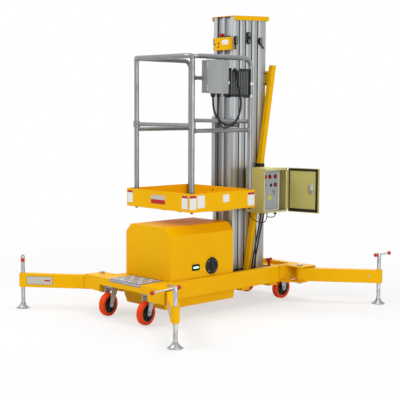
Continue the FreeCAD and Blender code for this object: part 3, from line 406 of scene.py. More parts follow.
class Model:
    """Collects solids in one mesh, which becomes one piece."""

    def __init__(self):
        self.mesh = bmesh.new()

    def add(self, part, place=None):
        if place is not None:
            part.transform(place)
        data = bpy.data.meshes.new("part")
        part.to_mesh(data)
        part.free()
        self.mesh.from_mesh(data)
        bpy.data.meshes.remove(data)
        return self

    def box(self, a, b, bevel=0, place=None):
        part = bmesh.new()
        size = [max(abs(b[i] - a[i]), 1e-5) for i in range(3)]
        middle = [(a[i] + b[i]) / 2 for i in range(3)]
        bmesh.ops.create_cube(part, size=1, matrix=Matrix.LocRotScale(middle, None, size))
        if bevel:
            soften(part, bevel)
        return self.add(part, place)

    def rod(self, a, b, radius, sides=24, place=None):
        part = bmesh.new()
        a, b = Vector(a), Vector(b)
        bmesh.ops.create_cone(part, cap_ends=True, segments=sides, radius1=radius,
                              radius2=radius, depth=(b - a).length,
                              matrix=aimed(b - a, (a + b) / 2))
        return self.add(part, place)

    def turned(self, profile, centre=(0, 0, 0), axis=(0, 0, 1), sides=48, place=None):
        """Revolve (radius, height) points about an axis through the centre."""
        part = bmesh.new()
        rings = [[part.verts.new((x, y, height))
                  for x, y in circle(sides if radius > 1e-6 else 1, radius)]
                 for radius, height in profile]
        if len(rings[0]) > 1 and len(rings[-1]) > 1:
            rings.append(rings[0])
        skin(part, rings)
        bmesh.ops.recalc_face_normals(part, faces=part.faces[:])
        part.transform(aimed(axis, centre))
        return self.add(part, place)

    def prism(self, outline, thickness, place, bevel=0):
        """Extrude an outline in XY upwards, then place it."""
        part = bmesh.new()
        face = part.faces.new([part.verts.new((x, y, 0)) for x, y in outline])
        solid = bmesh.ops.extrude_face_region(part, geom=[face])["geom"]
        top = [v for v in solid if isinstance(v, bmesh.types.BMVert)]
        bmesh.ops.translate(part, verts=top, vec=(0, 0, thickness))
        bmesh.ops.recalc_face_normals(part, faces=part.faces[:])
        if bevel:
            soften(part, bevel)
        return self.add(part, place)

    def wire(self, points, radius, sides=10, closed=False):
        """A round bar along a smooth line through the points."""
        line = smooth_line(points, closed)
        part = bmesh.new()
        rings = []
        side = Vector((0, 0, 1))
        last = len(line)
        for i, point in enumerate(line):
            after = line[(i + 1) % last] if closed or i < last - 1 else point
            before = line[i - 1] if closed or i > 0 else point
            along = (after - before).normalized()
            across = along.cross(side)
            if across.length < 0.2:
                across = along.cross(Vector((1, 0, 0)))
            across.normalize()
            side = across.cross(along).normalized()
            rings.append([part.verts.new(point + x * across + y * side)
                          for x, y in circle(sides, radius)])
        if closed:
            rings.append(rings[0])
        else:
            part.faces.new(rings[0])
            part.faces.new(rings[-1])
        skin(part, rings)
        bmesh.ops.recalc_face_normals(part, faces=part.faces[:])
        return self.add(part)

    def hexagon(self, size, start, height, bevel, place, whole=False):
        """Six-sided head; its top rim is bevelled, or all of its edges."""
        part = bmesh.new()
        middle = start + height / 2
        bmesh.ops.create_cone(part, cap_ends=True, segments=6, radius1=size, radius2=size,
                              depth=height, matrix=Matrix.Translation((0, 0, middle)))
        rim = [e for e in part.edges if whole or all(v.co.z > middle for v in e.verts)]
        soften(part, bevel, rim)
        return self.add(part, place)

    def bolt(self, centre, axis, size=0.008):
        """Hexagon head on its washer, standing on a surface."""
        place = aimed(axis, centre)
        start = size * 0.16
        self.turned(sleeve(0, size * 1.15, 0, start), sides=20, place=place)
        return self.hexagon(size, start, size * 0.6, size * 0.13, place)

    def nut(self, size, thickness, bore, place):
        """Nut on its washer round a screw's end, standing on the XY plane."""
        self.turned(sleeve(bore, size * 1.2, 0, 0.0012), sides=24, place=place)
        self.hexagon(size, 0.0012, thickness * 0.8, size * 0.08, place, whole=True)
        return self.rod((0, 0, 0.001), (0, 0, thickness + 0.0035), bore * 0.9, 20, place)

    def screw(self, centre, axis, size=0.004):
        """Round head with a cross recess."""
        return self.turned(((0, 0), (size, 0), (size * 0.92, size * 0.3), (size * 0.55, size * 0.5),
                            (size * 0.3, size * 0.5), (size * 0.2, size * 0.2), (0, size * 0.2)),
                           sides=16, place=aimed(axis, centre))

    def weld(self, a, b, radius=0.0022, pitch=0.005):
        """A bead of overlapping ripples along a straight joint."""
        a, b = Vector(a), Vector(b)
        count = max(2, int((b - a).length / pitch))
        for i in range(count + 1):
            part = bmesh.new()
            bmesh.ops.create_icosphere(part, subdivisions=1, radius=radius)
            self.add(part, aimed(b - a, a.lerp(b, i / count)) @ Matrix.Diagonal((1, 1, 1.5, 1)))
        return self

    def done(self, name, finish, body="chassis", angle=38):
        data = bpy.data.meshes.new(name)
        self.mesh.to_mesh(data)
        self.mesh.free()
        for face in data.polygons:
            face.use_smooth = True
        data.set_sharp_from_angle(angle=math.radians(angle))
        data.materials.append(FINISHES[finish].material)
        piece = bpy.data.objects.new(name, data)
        bpy.context.scene.collection.objects.link(piece)
        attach(piece, body)
        return piece


def smooth_line(points, closed=False, steps=6):
    """Points along a Catmull-Rom line through the given ones."""
    given = [Vector(p) for p in points]
    count = len(given)
    line = []
    for i in range(count if closed else count - 1):
        a, b, c, d = (given[n % count if closed else min(max(n, 0), count - 1)]
                      for n in range(i - 1, i + 3))
        for step in range(steps):
            t = step / steps
            line.append(0.5 * (2 * b + (c - a) * t + (2 * a - 5 * b + 4 * c - d) * t ** 2
                               + (3 * b - a - 3 * c + d) * t ** 3))
    return line if closed else line + given[-1:]


def facing(centre, out):
    """An upright frame whose Z points out of a surface and whose Y points up it."""
    z = Vector(out).normalized()
    x = Vector((0, 0, 1)).cross(z).normalized()
    return Matrix.Translation(centre) @ Matrix((x, z.cross(x), z)).transposed().to_4x4()


def rounded_outline(width, height, radius, steps=4):
    points = []
    for cx, cy, start in ((1, 1, 0), (-1, 1, 90), (-1, -1, 180), (1, -1, 270)):
        for k in range(steps + 1):
            angle = math.radians(start + 90 * k / steps)
            points.append((cx * (width / 2 - radius) + radius * math.cos(angle),
                           cy * (height / 2 - radius) + radius * math.sin(angle)))
    return points


# Wheels and casters

SWIVEL_X, SWIVEL_Y, TRAIL = 0.645, 0.187, 0.038
SWIVEL_HEADING = 12
REAR_WHEEL = (-0.6, 0.17)


def wheel_place(side_x, side_y):
    """A wheel's frame; the front casters stand turned by their heading."""
    if side_x > 0:
        turn = turned_by(SWIVEL_HEADING)
        centre = Vector((SWIVEL_X, side_y * SWIVEL_Y, WHEEL_Z)) + turn @ Vector((TRAIL, 0, 0))
        return Matrix.Translation(centre) @ turn
    return Matrix.Translation((REAR_WHEEL[0], side_y * REAR_WHEEL[1], WHEEL_Z))


def build_wheels():
    """Tyres, hubs with six spokes on each face, and bearing seals."""
    y_axis = (0, 1, 0)
    tread = mirrored([(0.0542, -0.0175), (0.064, -0.0192), (0.0672, -0.0207), (0.07, -0.0204),
                      (0.0728, -0.018), (0.0743, -0.013), (0.075, -0.006),
                      (0.07505, -0.0004)])
    disc = mirrored([(0.0061, -0.0255), (0.015, -0.0255), (0.0165, -0.0235), (0.017, -0.01),
                     (0.0215, -0.0082), (0.04, -0.0068), (0.0455, -0.015), (0.0485, -0.0178),
                     (0.054, -0.0178)])
    spoke = ((0.015, -0.003), (0.0465, -0.0022), (0.0465, 0.0022), (0.015, 0.003))
    for name, side_x, side_y in CORNERS:
        place = wheel_place(side_x, side_y)
        body = "wheel_" + name
        tyre = Model().turned(tread, axis=y_axis, sides=96, place=place)
        tyre = tyre.done("tread_" + name, "tyre", body, 60)
        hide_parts("tyre_" + name)

        hub = Model().turned(disc, axis=y_axis, sides=64, place=place)
        seal = Model()
        for face in (1, -1):
            lift = Matrix.Translation((0, face * 0.0115 + 0.0046, 0)) @ turned_by(90, "X")
            for k in range(6):
                hub.prism(spoke, 0.0092, place @ turned_by(60 * k, "Y") @ lift, 0.0008)
            seal.turned(sleeve(0.0064, 0.0132, face * 0.0248, face * 0.0257), axis=y_axis,
                        sides=40, place=place)
        hub = hub.done("rim_" + name, "hub", body)
        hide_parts("hub_" + name)
        seal.done("bearing_seals_" + name, "zinc", body)


def build_caster_trim():
    """Swivel races, the nuts of the axles and the bolts of the caster plates."""
    plate = Model()
    plate_low, plate_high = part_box("caster_plates")
    for name, side_x, side_y in CORNERS:
        front = side_x > 0
        x, y = (SWIVEL_X, side_y * SWIVEL_Y) if front else (REAR_WHEEL[0], side_y * REAR_WHEEL[1])
        nuts = Model()
        for face in (1, -1):
            end = Matrix.Translation((0, face * 0.03, 0)) @ turned_by(-90 * face, "X")
            nuts.nut(0.0115, 0.0075, 0.0055, wheel_place(side_x, side_y) @ end)
        top = high("fork_" + name).z if front else plate_low.z - 0.0005
        nuts.turned([(0.019, -0.001), (0.0275, -0.001), (0.033, -0.0035), (0.0345, -0.007),
                     (0.033, -0.01), (0.024, -0.011), (0.019, -0.011)],
                    (x, y, top + 0.0035), sides=56)
        nuts.done("fork_fittings_" + name, "zinc", "caster_" + name if front else "chassis")
        dx, dy, size = (0.039, 0.031, 0.0065) if front else (0.041, 0.022, 0.006)
        for _, sx, sy in CORNERS:
            plate.bolt((x + sx * dx, y + sy * dy, plate_high.z - 0.005), (0, 0, -1), size)
        if front:
            plate.turned([(0.03, 0.0004), (0.0325, 0), (0.0335, -0.0022), (0.0325, -0.0044),
                          (0.03, -0.0048)], (x, y, plate_low.z + 0.006), sides=56)
    plate.done("caster_bolts", "bolt")


# Jacks and outriggers

SCREW_RADIUS = 0.014
SCREW_TOP = ARM_TOP + 0.118
BAR_Z = SCREW_TOP - 0.012
BAR_LENGTH = 0.155
JACK_BARS = {
    # corner: direction of the long side in degrees, droop in degrees, long side
    "front_left": (-30, 10, 0.134),
    "front_right": (236, 0, 0.0357),
    "rear_left": (180, 0, 0.11428),
    "rear_right": (180, 0, 0.11428),
}


def threaded(centre, z0, z1, radius, pitch=0.004, depth=0.0011):
    """A screw's surface, with its thread as a real helix."""
    part = bmesh.new()
    sides = 32
    rings = []
    for row in range(int((z1 - z0) / (pitch / 4)) + 2):
        z = min(z0 + row * pitch / 4, z1)
        ring = []
        for k, (x, y) in enumerate(circle(sides, 1)):
            phase = ((z - z0) / pitch - k / sides) % 1
            crest = min(1, max(0, 2.4 * abs(phase - 0.5) - 0.1))
            r = radius - depth * (1 - crest)
            ring.append(part.verts.new((centre[0] + r * x, centre[1] + r * y, z)))
        rings.append(ring)
    skin(part, rings)
    part.faces.new(list(reversed(rings[0])))
    part.faces.new(rings[-1])
    return part


def build_jacks():
    """Foot, threaded screw, bar and two ball handles of each jack."""
    foot_shape = [(0, 0), (0.044, 0), (0.045, 0.001), (0.045, 0.0035), (0.0425, 0.0055),
                  (0.033, 0.0105), (0.029, 0.0165), (0.0225, 0.0215), (0.0185, 0.025),
                  (0.018, 0.033), (0.016, 0.0372), (0.014, 0.038), (0, 0.038)]
    knob_shape = [(0, 0.014), (0.005, 0.0131), (0.0094, 0.0104), (0.0126, 0.0062),
                  (0.014, 0), (0.0132, -0.0048), (0.011, -0.0086), (0.008, -0.011),
                  (0.0072, -0.0128), (0, -0.0128)]
    for name, sx, sy in CORNERS:
        x, y = sx * PAD_X, sy * PAD_Y
        body = "jack_" + name
        Model().turned(foot_shape, (x, y, 0), sides=64).done("jack_pad_" + name, "pad", body, 30)

        screw = Model().add(threaded((x, y), 0.0375, ARM_TOP + 0.05, SCREW_RADIUS))
        screw.turned([(0, ARM_TOP + 0.048), (0.0132, ARM_TOP + 0.048),
                      (SCREW_RADIUS, ARM_TOP + 0.051), (SCREW_RADIUS, SCREW_TOP - 0.003),
                      (0.0125, SCREW_TOP - 0.0004), (0, SCREW_TOP)], (x, y, 0), sides=40)
        screw = screw.done("jack_screw_" + name, "zinc", body, 50)
        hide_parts("jack_" + name)

        angle, droop, long_side = JACK_BARS[name]
        along = turned_by(angle) @ turned_by(droop, "Y") @ Vector((1, 0, 0))
        middle = Vector((x, y, BAR_Z))
        ends = (middle + along * long_side, middle - along * (BAR_LENGTH - long_side))
        Model().rod(*ends, 0.005, 20).done("jack_bar_" + name, "bolt", body)
        knobs = Model()
        for end, out in zip(ends, (along, -along)):
            knobs.turned(knob_shape, end, out, 36)
        knobs.done("jack_knobs_" + name, "ball", body, 60)


def build_outrigger_trim():
    """Bushes round the screw, weld beads and the small locking bolts of each arm."""
    reach = math.hypot(PAD_X - PIVOT_X, PAD_Y - PIVOT_Y)
    bottom = low("arm_front_left").z
    for name, sx, sy in CORNERS:
        angle = math.atan2(sy * (PAD_Y - PIVOT_Y), sx * (PAD_X - PIVOT_X))
        place = Matrix.Translation((sx * PIVOT_X, sy * PIVOT_Y, 0)) @ Matrix.Rotation(angle, 4, "Z")
        trim, bolts = Model(), Model()
        for z, out in ((ARM_TOP, 1), (bottom, -1)):
            trim.turned([(0.0142, 0), (0.0212, 0), (0.0204, 0.0022), (0.0186, 0.0034),
                         (0.0142, 0.0034)], place @ Vector((reach, 0, z)), (0, 0, out), 40)
        for side in (1, -1):
            for z in (bottom + 0.0012, ARM_TOP - 0.0012):
                trim.weld(*(place @ Vector((x, side * 0.0246, z)) for x in (0.026, reach - 0.004)),
                          0.0011, 0.012)
        for side in (1, -1) if sx < 0 else (sy,):
            middle = place @ Vector((reach - 0.068, side * ARM_HALF, (bottom + ARM_TOP) / 2))
            bolts.bolt(middle, place.to_3x3() @ Vector((0, side, 0)), 0.0062)
        trim.done("arm_bushes_" + name, "yellow", "outrigger_" + name)
        bolts.done("arm_bolts_" + name, "bolt", "outrigger_" + name)


# Chassis

LIP_BARS = 17


def build_step_tread():
    """Raised five-bar pattern on the step plate, bars on its lip and a row of screws."""
    a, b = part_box("step_plate")
    tread, screws = Model(), Model()
    for place in lattice(a, b, b.z, 0.044):
        for k in range(-2, 3):
            length = 0.033 * (1 - 0.14 * abs(k))
            tread.prism(lozenge(length / 2, length / 4, 0.0026), 0.0011,
                        place @ Matrix.Translation((0, k * 0.0078, 0)))
    across = (b.y - a.y) / LIP_BARS
    for j in range(LIP_BARS):
        spot = facing((b.x, a.y + across * (j + 0.5), (a.z + b.z) / 2), (1, 0, 0))
        tread.prism(lozenge(0.009, 0.0045, 0.0026), 0.0011, spot @ turned_by(40 if j % 2 else -40))
    tread.done("step_tread", "bars")
    for y in (-0.128, 0, 0.128):
        screws.screw((a.x + 0.01, (a.y + b.y) / 2 + y, b.z), (0, 0, 1), 0.0048)
    screws.done("step_screws", "bolt")


def build_chassis_trim():
    """Weld beads on the rails, rings round the pivots and the bolts of the mast's feet."""
    welds, bolts = Model(), Model()
    top = RAIL_TOP
    for _, sx, sy in CORNERS:
        seams = (
            # along X from and to, out from the rail, height from and to, radius
            (0.5, 0.706, 0.0006, top + 0.0002, top + 0.0002, 0.002),
            (0.5635, 0.699, 0.0088, top - 0.0088, top - 0.0088, 0.0024),
            (0.4992, 0.4992, 0.0012, 0.1405, top - 0.002, 0.0022),
        )
        for x0, x1, out, z0, z1, radius in seams:
            y = sy * (RAIL_OUT + out)
            welds.weld((sx * x0, y, z0), (sx * x1, y, z1), radius)
        bolts.turned(sleeve(0.0126, 0.0165, 0, 0.0022), (sx * PIVOT_X, sy * PIVOT_Y, top),
                     sides=36)
    # Feet of the mast: four bolts behind it, and two beside it in front
    for x, y in ((-0.5175, 0.17), (-0.5175, 0.105), (-0.1575, 0.17)):
        for side in (1, -1):
            bolts.bolt((x, side * y, low("mast_1").z), (0, 0, 1), 0.0085)
    welds.done("chassis_welds", "yellow")
    bolts.done("chassis_bolts", "bolt")


INLET_X, INLET_Z = 0.138, 0.317


def build_hood_trim():
    """Charge inlet, battery gauge and the screws on the hood's back."""
    a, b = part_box("hood")
    side = b.y
    x, z = INLET_X, INLET_Z
    out = (0, 1, 0)
    inlet, pins = Model(), Model()
    inlet.turned([(0, 0.0016), (0.012, 0.0016), (0.014, 0.003), (0.033, 0.003),
                  (0.0345, 0.0052), (0.036, 0.0072), (0.04, 0.0086), (0.05, 0.0086),
                  (0.0545, 0.0058), (0.0555, 0), (0, 0)], (x, side + 0.0002, z), out, 72)
    for dx, dz in circle(3, 0.015, 90):
        inlet.turned(sleeve(0.003, 0.0052, 0, 0.0042), (x + dx, side + 0.003, z + dz), out, 20)
        pins.rod((x + dx, side + 0.001, z + dz), (x + dx, side + 0.0065, z + dz), 0.002, 14)
    inlet.box((x - 0.013, side + 0.006, z + 0.044), (x + 0.013, side + 0.0125, z + 0.056), 0.002)
    inlet.wire([(x + dx, side + dy, z + dz) for dx, dy, dz in (
        (-0.004, 0.008, 0.028), (0.01, 0.0095, 0.012), (0.006, 0.0095, -0.012),
        (-0.01, 0.008, -0.026))], 0.0022)
    inlet = inlet.done("inlet_face", "black")
    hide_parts("charge_inlet")
    for dx, dz in circle(4, 0.0452, 45):
        pins.screw((x + dx, side + 0.0088, z + dz), out, 0.0034)
    pins.done("inlet_pins", "bolt")

    low_end, high_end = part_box("battery_gauge")
    centre = (low_end + high_end) / 2
    face = high_end.y
    glow = Model()
    for k in range(5):
        gx = centre.x + 0.0185 - k * 0.0092
        glow.box((gx - 0.004, face - 0.0002, centre.z - 0.0052),
                 (gx + 0.004, face + 0.0008, centre.z + 0.0052), 0.0006)
    glow.done("gauge_lamps", "glow")
    outline = rounded_outline(high_end.x - low_end.x, high_end.z - low_end.z, 0.006)
    place = facing((centre.x, face, centre.z), out)
    ring = [place @ Vector((px * 0.96, py * 0.95, 0)) for px, py in outline]
    Model().wire(ring, 0.0016, 8, closed=True).done("gauge_rim", "black")

    screws = Model()
    for y in (-0.155, 0.155):
        for z in (0.275, 0.505):
            screws.screw((a.x, y, z), (-1, 0, 0), 0.0052)
    screws.done("hood_screws", "bolt")


# Mast

ANCHOR_WIRES = (
    # section, body, the hooked wire's points from the anchor's middle foot, along X and Z
    (1, "chassis", ((0.004, 0.012), (-0.006, 0), (-0.02, -0.014), (-0.031, -0.024))),
    (5, "mast_5", ((0.004, 0.012), (0.007, -0.008), (0.0085, -0.024), (0.008, -0.034))),
)


def build_mast_trim():
    """Bolts, studs, foot blocks, release valve, cable anchors, and dark gap strips that are painted
    shade.
    """
    bolts, studs, webs, pads = Model(), Model(), Model(), Model()
    back = low("mast_1").x
    foot = low("mast_1").z
    plate_low = high("mast_braces").z - 0.14
    low_5, high_5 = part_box("mast_5")
    for side in (1, -1):
        for dz in (0.022, 0.078):
            bolts.bolt((back - 0.008, side * 0.075, plate_low + dz), (-1, 0, 0), 0.008)
        y = side * (MAST_SIDE + 0.0022)
        for z in (1.511, 1.583):
            studs.rod((-0.474, y, z), (-0.5, y, z), 0.0032, 16)
        for z in (1.53, 1.575):
            bolts.bolt((back - 0.008, side * 0.1175, z), (-1, 0, 0), 0.006)
        # Webs between the front section's rib and its flanges; their darker finish is painted shade
        webs.box((MAST_FRONT - 0.0255, side * 0.0082, low_5.z + 0.002),
                 (MAST_FRONT - 0.011, side * 0.0618, high_5.z - 0.002), 0.0006)
        for x in (-0.212, -0.252):
            pads.box((x - 0.017, side * 0.097, foot), (x + 0.015, side * 0.134, foot + 0.028),
                     0.003)
            pads.rod((x, side * 0.116, foot + 0.026), (x, side * 0.116, foot + 0.036), 0.008, 20)
    pads.box((-0.2465, 0.0965, foot), (-0.211, 0.12, foot + 0.017), 0.003)
    bolts.done("mast_bolts", "bolt")
    studs.done("mast_studs", "housing")
    webs.done("mast_front_webs", "web", "mast_5")

    va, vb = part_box("release_valve")
    middle, reach = (va + vb) / 2, (vb - va) / 2
    valve, collar = Model(), Model()
    bar = Vector((reach.x, 0, 0)) if reach.x > reach.y else Vector((0, reach.y, 0))
    crown = Vector((middle.x, middle.y, vb.z - 0.008))
    valve.rod(crown - bar, crown + bar, 0.0082, 24)
    valve.turned([(0, 0), (0.012, 0), (0.0135, 0.006), (0.011, 0.024), (0, 0.024)],
                 (middle.x, middle.y, vb.z - 0.038), sides=32)
    collar.turned([(0, 0), (0.015, 0), (0.015, 0.008), (0.011, 0.011), (0.011, 0.024),
                   (0, 0.024)], (middle.x, middle.y, va.z), sides=32)
    valve.done("valve_grip", "red")
    collar.done("valve_collar", "rubber")
    pads.done("mast_foot_blocks", "rubber")

    for section, body, line in ANCHOR_WIRES:
        a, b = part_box("mast_%d_anchors" % section)
        middle = (a.x + b.x) / 2
        hooks = Model()
        for y in (b.y - 0.004, 0.004 - b.y):
            hooks.wire([(middle + dx, y, a.z + dz) for dx, dz in line], 0.0046)
        hooks.done("anchor_hooks_%d" % section, "rubber", body)
    for section, body in ((1, "chassis"), (3, "mast_3"), (5, "mast_5")):
        a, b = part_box("mast_%d_anchors" % section)
        middle, half = (a.x + b.x) / 2, (b.x - a.x) / 2
        eyes = Model()
        for side in (1, -1):
            for z in (a.z + half, b.z - half):
                eyes.turned([(half * 0.34, 0), (half * 0.6, 0), (half * 0.62, 0.0016),
                             (half * 0.52, 0.0028), (half * 0.34, 0.0022)],
                            (middle, side * b.y, z), (0, side, 0), 28)
        eyes.done("anchor_eyes_%d" % section, "tread", body)

    # Dark strips close each gap between two sections, as painted shade
    for section, body in enumerate(("chassis", "mast_2", "mast_3", "mast_4"), 1):
        strip = Model()
        face = high("mast_%d" % section).x
        for side in (1, -1):
            strip.box((face - 0.0004, side * 0.064, foot + 0.026),
                      (face + 0.0078, side * 0.0954, high("mast_2").z - 0.001), 0.0008)
        strip.done("gap_shade_strips_%d" % section, "rubber", body)


# Cabinet

CONTROLS = (
    # distance behind the cabinet's front, drop below its top, kind
    (0.045, 0.059, "red"),
    (0.091, 0.059, "red"),
    (0.145, 0.059, "red"),
    (0.05, 0.115, "grey"),
    (0.097, 0.115, "selector"),
    (0.148, 0.115, "red"),
)
LIP_TOP = 0.016
LIP_WIDTH = 0.011
CABINET_WIDTH = 0.233
HINGE_BARREL = 0.005
GLANDS = (
    # X, Y, radius
    (-0.364, 0.186, 0.0125),
    (-0.391, 0.186, 0.0125),
    (-0.282, 0.158, 0.008),
    (-0.409, 0.202, 0.008),
    (-0.45, 0.24, 0.0125),
)
LINK_ROUTE = (
    # X, Y, drop below the cabinet's floor
    (-0.45, 0.24, 0.018), (-0.45, 0.24, 0.028), (-0.445, 0.236, 0.038),
    (-0.432, 0.224, 0.042), (-0.418, 0.21, 0.041), (-0.409, 0.202, 0.036),
)


def build_cabinet_trim():
    """Controls, sign and rim of the panel, and the cable glands below the cabinet."""
    a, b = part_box("cabinet")
    x1, z0, z1 = b.x, a.z, b.z
    panel_low, panel_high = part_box("cabinet_panel")
    face = panel_high.y
    out = (0, 1, 0)
    rims, reds, dark, grey = Model(), Model(), Model(), Model()
    for back, drop, kind in CONTROLS:
        spot = (x1 - back, face, z1 - drop)
        ring = dark if kind == "red" else rims
        ring.turned([(0, 0), (0.015, 0), (0.015, 0.0022), (0.013, 0.004),
                     (0.0105, 0.004), (0.0105, 0.001), (0, 0.001)], spot, out, 36)
        if kind == "red":
            reds.turned([(0, 0.001), (0.0102, 0.001), (0.0102, 0.0086), (0.0086, 0.0106),
                         (0, 0.0112)], spot, out, 36)
            continue
        knob = dark if kind == "selector" else grey
        knob.turned([(0, 0.001), (0.0102, 0.001), (0.0098, 0.0075), (0, 0.008)], spot, out, 36)
        turn = facing((spot[0], face + 0.007, spot[2]), out) @ Matrix.Rotation(0.6, 4, "Z")
        knob.box((-0.003, -0.0098, 0), (0.003, 0.0098, 0.005), 0.0012, turn)
    x, z = x1 - 0.127, z1 - 0.157
    rims.turned([(0, 0), (0.008, 0), (0.008, 0.004), (0, 0.0046)], (x, face, z), out, 28)
    rims.box((x - 0.0009, face + 0.004, z - 0.016), (x + 0.0009, face + 0.016, z + 0.005), 0.0004)
    rims.wire([(x, face + 0.012, z - 0.015), (x - 0.006, face + 0.013, z - 0.026),
               (x + 0.003, face + 0.012, z - 0.034), (x + 0.007, face + 0.011, z - 0.024)],
              0.001, 8, closed=True)
    rims.done("control_rims", "bolt")
    reds.done("control_buttons", "red")
    grey.done("control_key_switch", "panel")
    dark = dark.done("control_selectors", "black")
    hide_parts("cabinet_controls")

    place = facing((x1 - 0.0905, face + 0.0002, z1 - 0.1945), out)
    sign = Model().prism([(-0.0235, -0.018), (0.0235, -0.018), (0, 0.0185)], 0.0007, place, 0.0002)
    sign.done("panel_triangle", "sign_yellow")

    px0, px1 = panel_low.x, panel_high.x
    pz0, pz1 = panel_low.z, panel_high.z
    place = facing(((px0 + px1) / 2, face + 0.0002, (pz0 + pz1) / 2 + 0.004), out)
    line = [place @ Vector((px, pz, 0))
            for px, pz in rounded_outline(px1 - px0 - 0.007, pz1 - pz0 - 0.016, 0.018)]
    Model().wire(line, 0.003, 8, closed=True).done("panel_edge", "sign_white")

    lip, dark_block, screws, glands, link = (Model() for _ in range(5))
    x0, mouth = x1 - CABINET_WIDTH, b.y - HINGE_BARREL
    inner = (x0 + LIP_WIDTH, z0 + LIP_WIDTH, x1 - LIP_WIDTH, z1 - LIP_TOP)
    for xa, za, xb, zb in border((x0, z0, x1, z1), inner):
        lip.box((xa + 0.0004, mouth - 0.0016, za + 0.0004),
                (xb - 0.0004, mouth - 0.0001, zb - 0.0004), 0.0004)
    lip.done("cabinet_lip", "cream")
    # A dark block on the cabinet's top, where the brace passes behind it
    dark_block.box((-0.449, 0.096, z1 + 0.0006), (-0.397, 0.142, z1 + 0.025), 0.008)
    dark_block.done("dark_block_at_brace", "rubber")
    for x in (px0 + 0.012, px1 - 0.012):
        for z in (pz0 + 0.013, pz1 - 0.013):
            screws.screw((x, face, z), out, 0.0034)
    screws.done("panel_screws", "bolt")
    for x, y, radius in GLANDS:
        glands.turned([(0, 0), (radius, 0), (radius, 0.005), (radius * 0.84, 0.006),
                       (radius * 0.8, 0.017), (radius * 0.63, 0.021), (0, 0.021)],
                      (x, y, z0), (0, 0, -1), 28)
    glands.done("cabinet_glands", "black")
    link.wire([(x, y, z0 - drop) for x, y, drop in LINK_ROUTE], 0.0032, 12)
    link.done("cabinet_link", "sheath")


DOOR_HINGE = (-0.5065, 0.3, 0)
DOOR_OPENING = 102
DOOR_WIDTH = 0.2385


def door_space():
    """The open door's frame: X from the hinge along the door, Z out of its inner face."""
    turn = math.radians(DOOR_OPENING)
    x = Vector((math.cos(turn), math.sin(turn), 0))
    z = Vector((math.sin(turn), -math.cos(turn), 0))
    return Matrix.Translation(DOOR_HINGE) @ Matrix((x, z.cross(x), z)).transposed().to_4x4()


def build_door_trim():
    """Gasket, inner sheet and lock of the open cabinet door."""
    a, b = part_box("cabinet_door")
    place = door_space()
    flip = -1 if (place.to_3x3() @ Vector((0, 1, 0))).z < 0 else 1

    def slab(model, edges, out_a, out_b, bevel):
        x0, z0, x1, z1 = edges
        model.box((x0, flip * z0, out_a), (x1, flip * z1, out_b), bevel, place)

    gasket, sheet, lock = Model(), Model(), Model()
    outer = (0.0045, a.z + 0.0022, DOOR_WIDTH - 0.0022, b.z - 0.0022)
    inner = (0.0175, a.z + 0.024, 0.2165, b.z - 0.02)
    for bar in border(outer, inner):
        slab(gasket, bar, -0.0142, -0.0006, 0.0018)
    gasket.done("door_gasket", "seal", "cabinet_door")
    lap = 0.001
    slab(sheet, (inner[0] - lap, inner[1] - lap, inner[2] + lap, inner[3] + lap),
         -0.0142, -0.0035, 0.0012)
    sheet.done("door_inner_sheet", "olive", "cabinet_door")
    x, z = DOOR_WIDTH - 0.055, (low("door_lock").z + high("door_lock").z) / 2
    slab(lock, (x - 0.0165, z - 0.034, x + 0.0165, z + 0.034), -0.004, 0.001, 0.0016)
    lock.turned([(0, 0), (0.014, 0), (0.014, 0.0066), (0.012, 0.0088), (0.0075, 0.0094),
                 (0.0075, 0.0112), (0, 0.0112)], place @ Vector((x, flip * z, 0)),
                place.to_3x3() @ Vector((0, 0, 1)), 36)
    slab(lock, (x - 0.006, z - 0.026, x + 0.006, z + 0.006), 0.0082, 0.0114, 0.0012)
    lock = lock.done("door_cam_lock", "bolt", "cabinet_door")
    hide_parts("door_lock")


# Platform

STICKERS = (
    # face, across from, across to, low, high, kind
    ("front", -0.3135, -0.259, 0.715, 0.795, "headed"),
    ("front", -0.072, 0.065, 0.723, 0.779, "split"),
    ("front", 0.224, 0.279, 0.708, 0.792, "headed"),
    ("left", 0.3735, 0.431, 0.708, 0.796, "headed"),
    ("left", 0.3, 0.364, 0.715, 0.795, "plain"),
    ("left", 0.08, 0.138, 0.74, 0.79, "plain"),
    ("left", -0.156, -0.092, 0.705, 0.79, "headed"),
)
ARM_SIGN_REACH, ARM_SIGN_Z, ARM_HALF = 0.4215, 0.193, 0.025
ARM_SIGNS = (
    # name, finish, back along the arm, width, height, lift
    ("arm_sign_", "sign_grey", 0, 0.175, 0.052, 0.0003),
    ("arm_sign_edge_", "pack", 0, 0.1785, 0.0555, 0.0001),
    ("arm_sign_stripe_", "sign_red", 0.054, 0.04, 0.009, 0.0006),
)


def sticker(model, centre, out, width, height, lift):
    place = facing(centre, out) @ Matrix.Translation((0, 0, lift))
    return model.prism(rounded_outline(width, height, 0.0025), 0.00035, place)


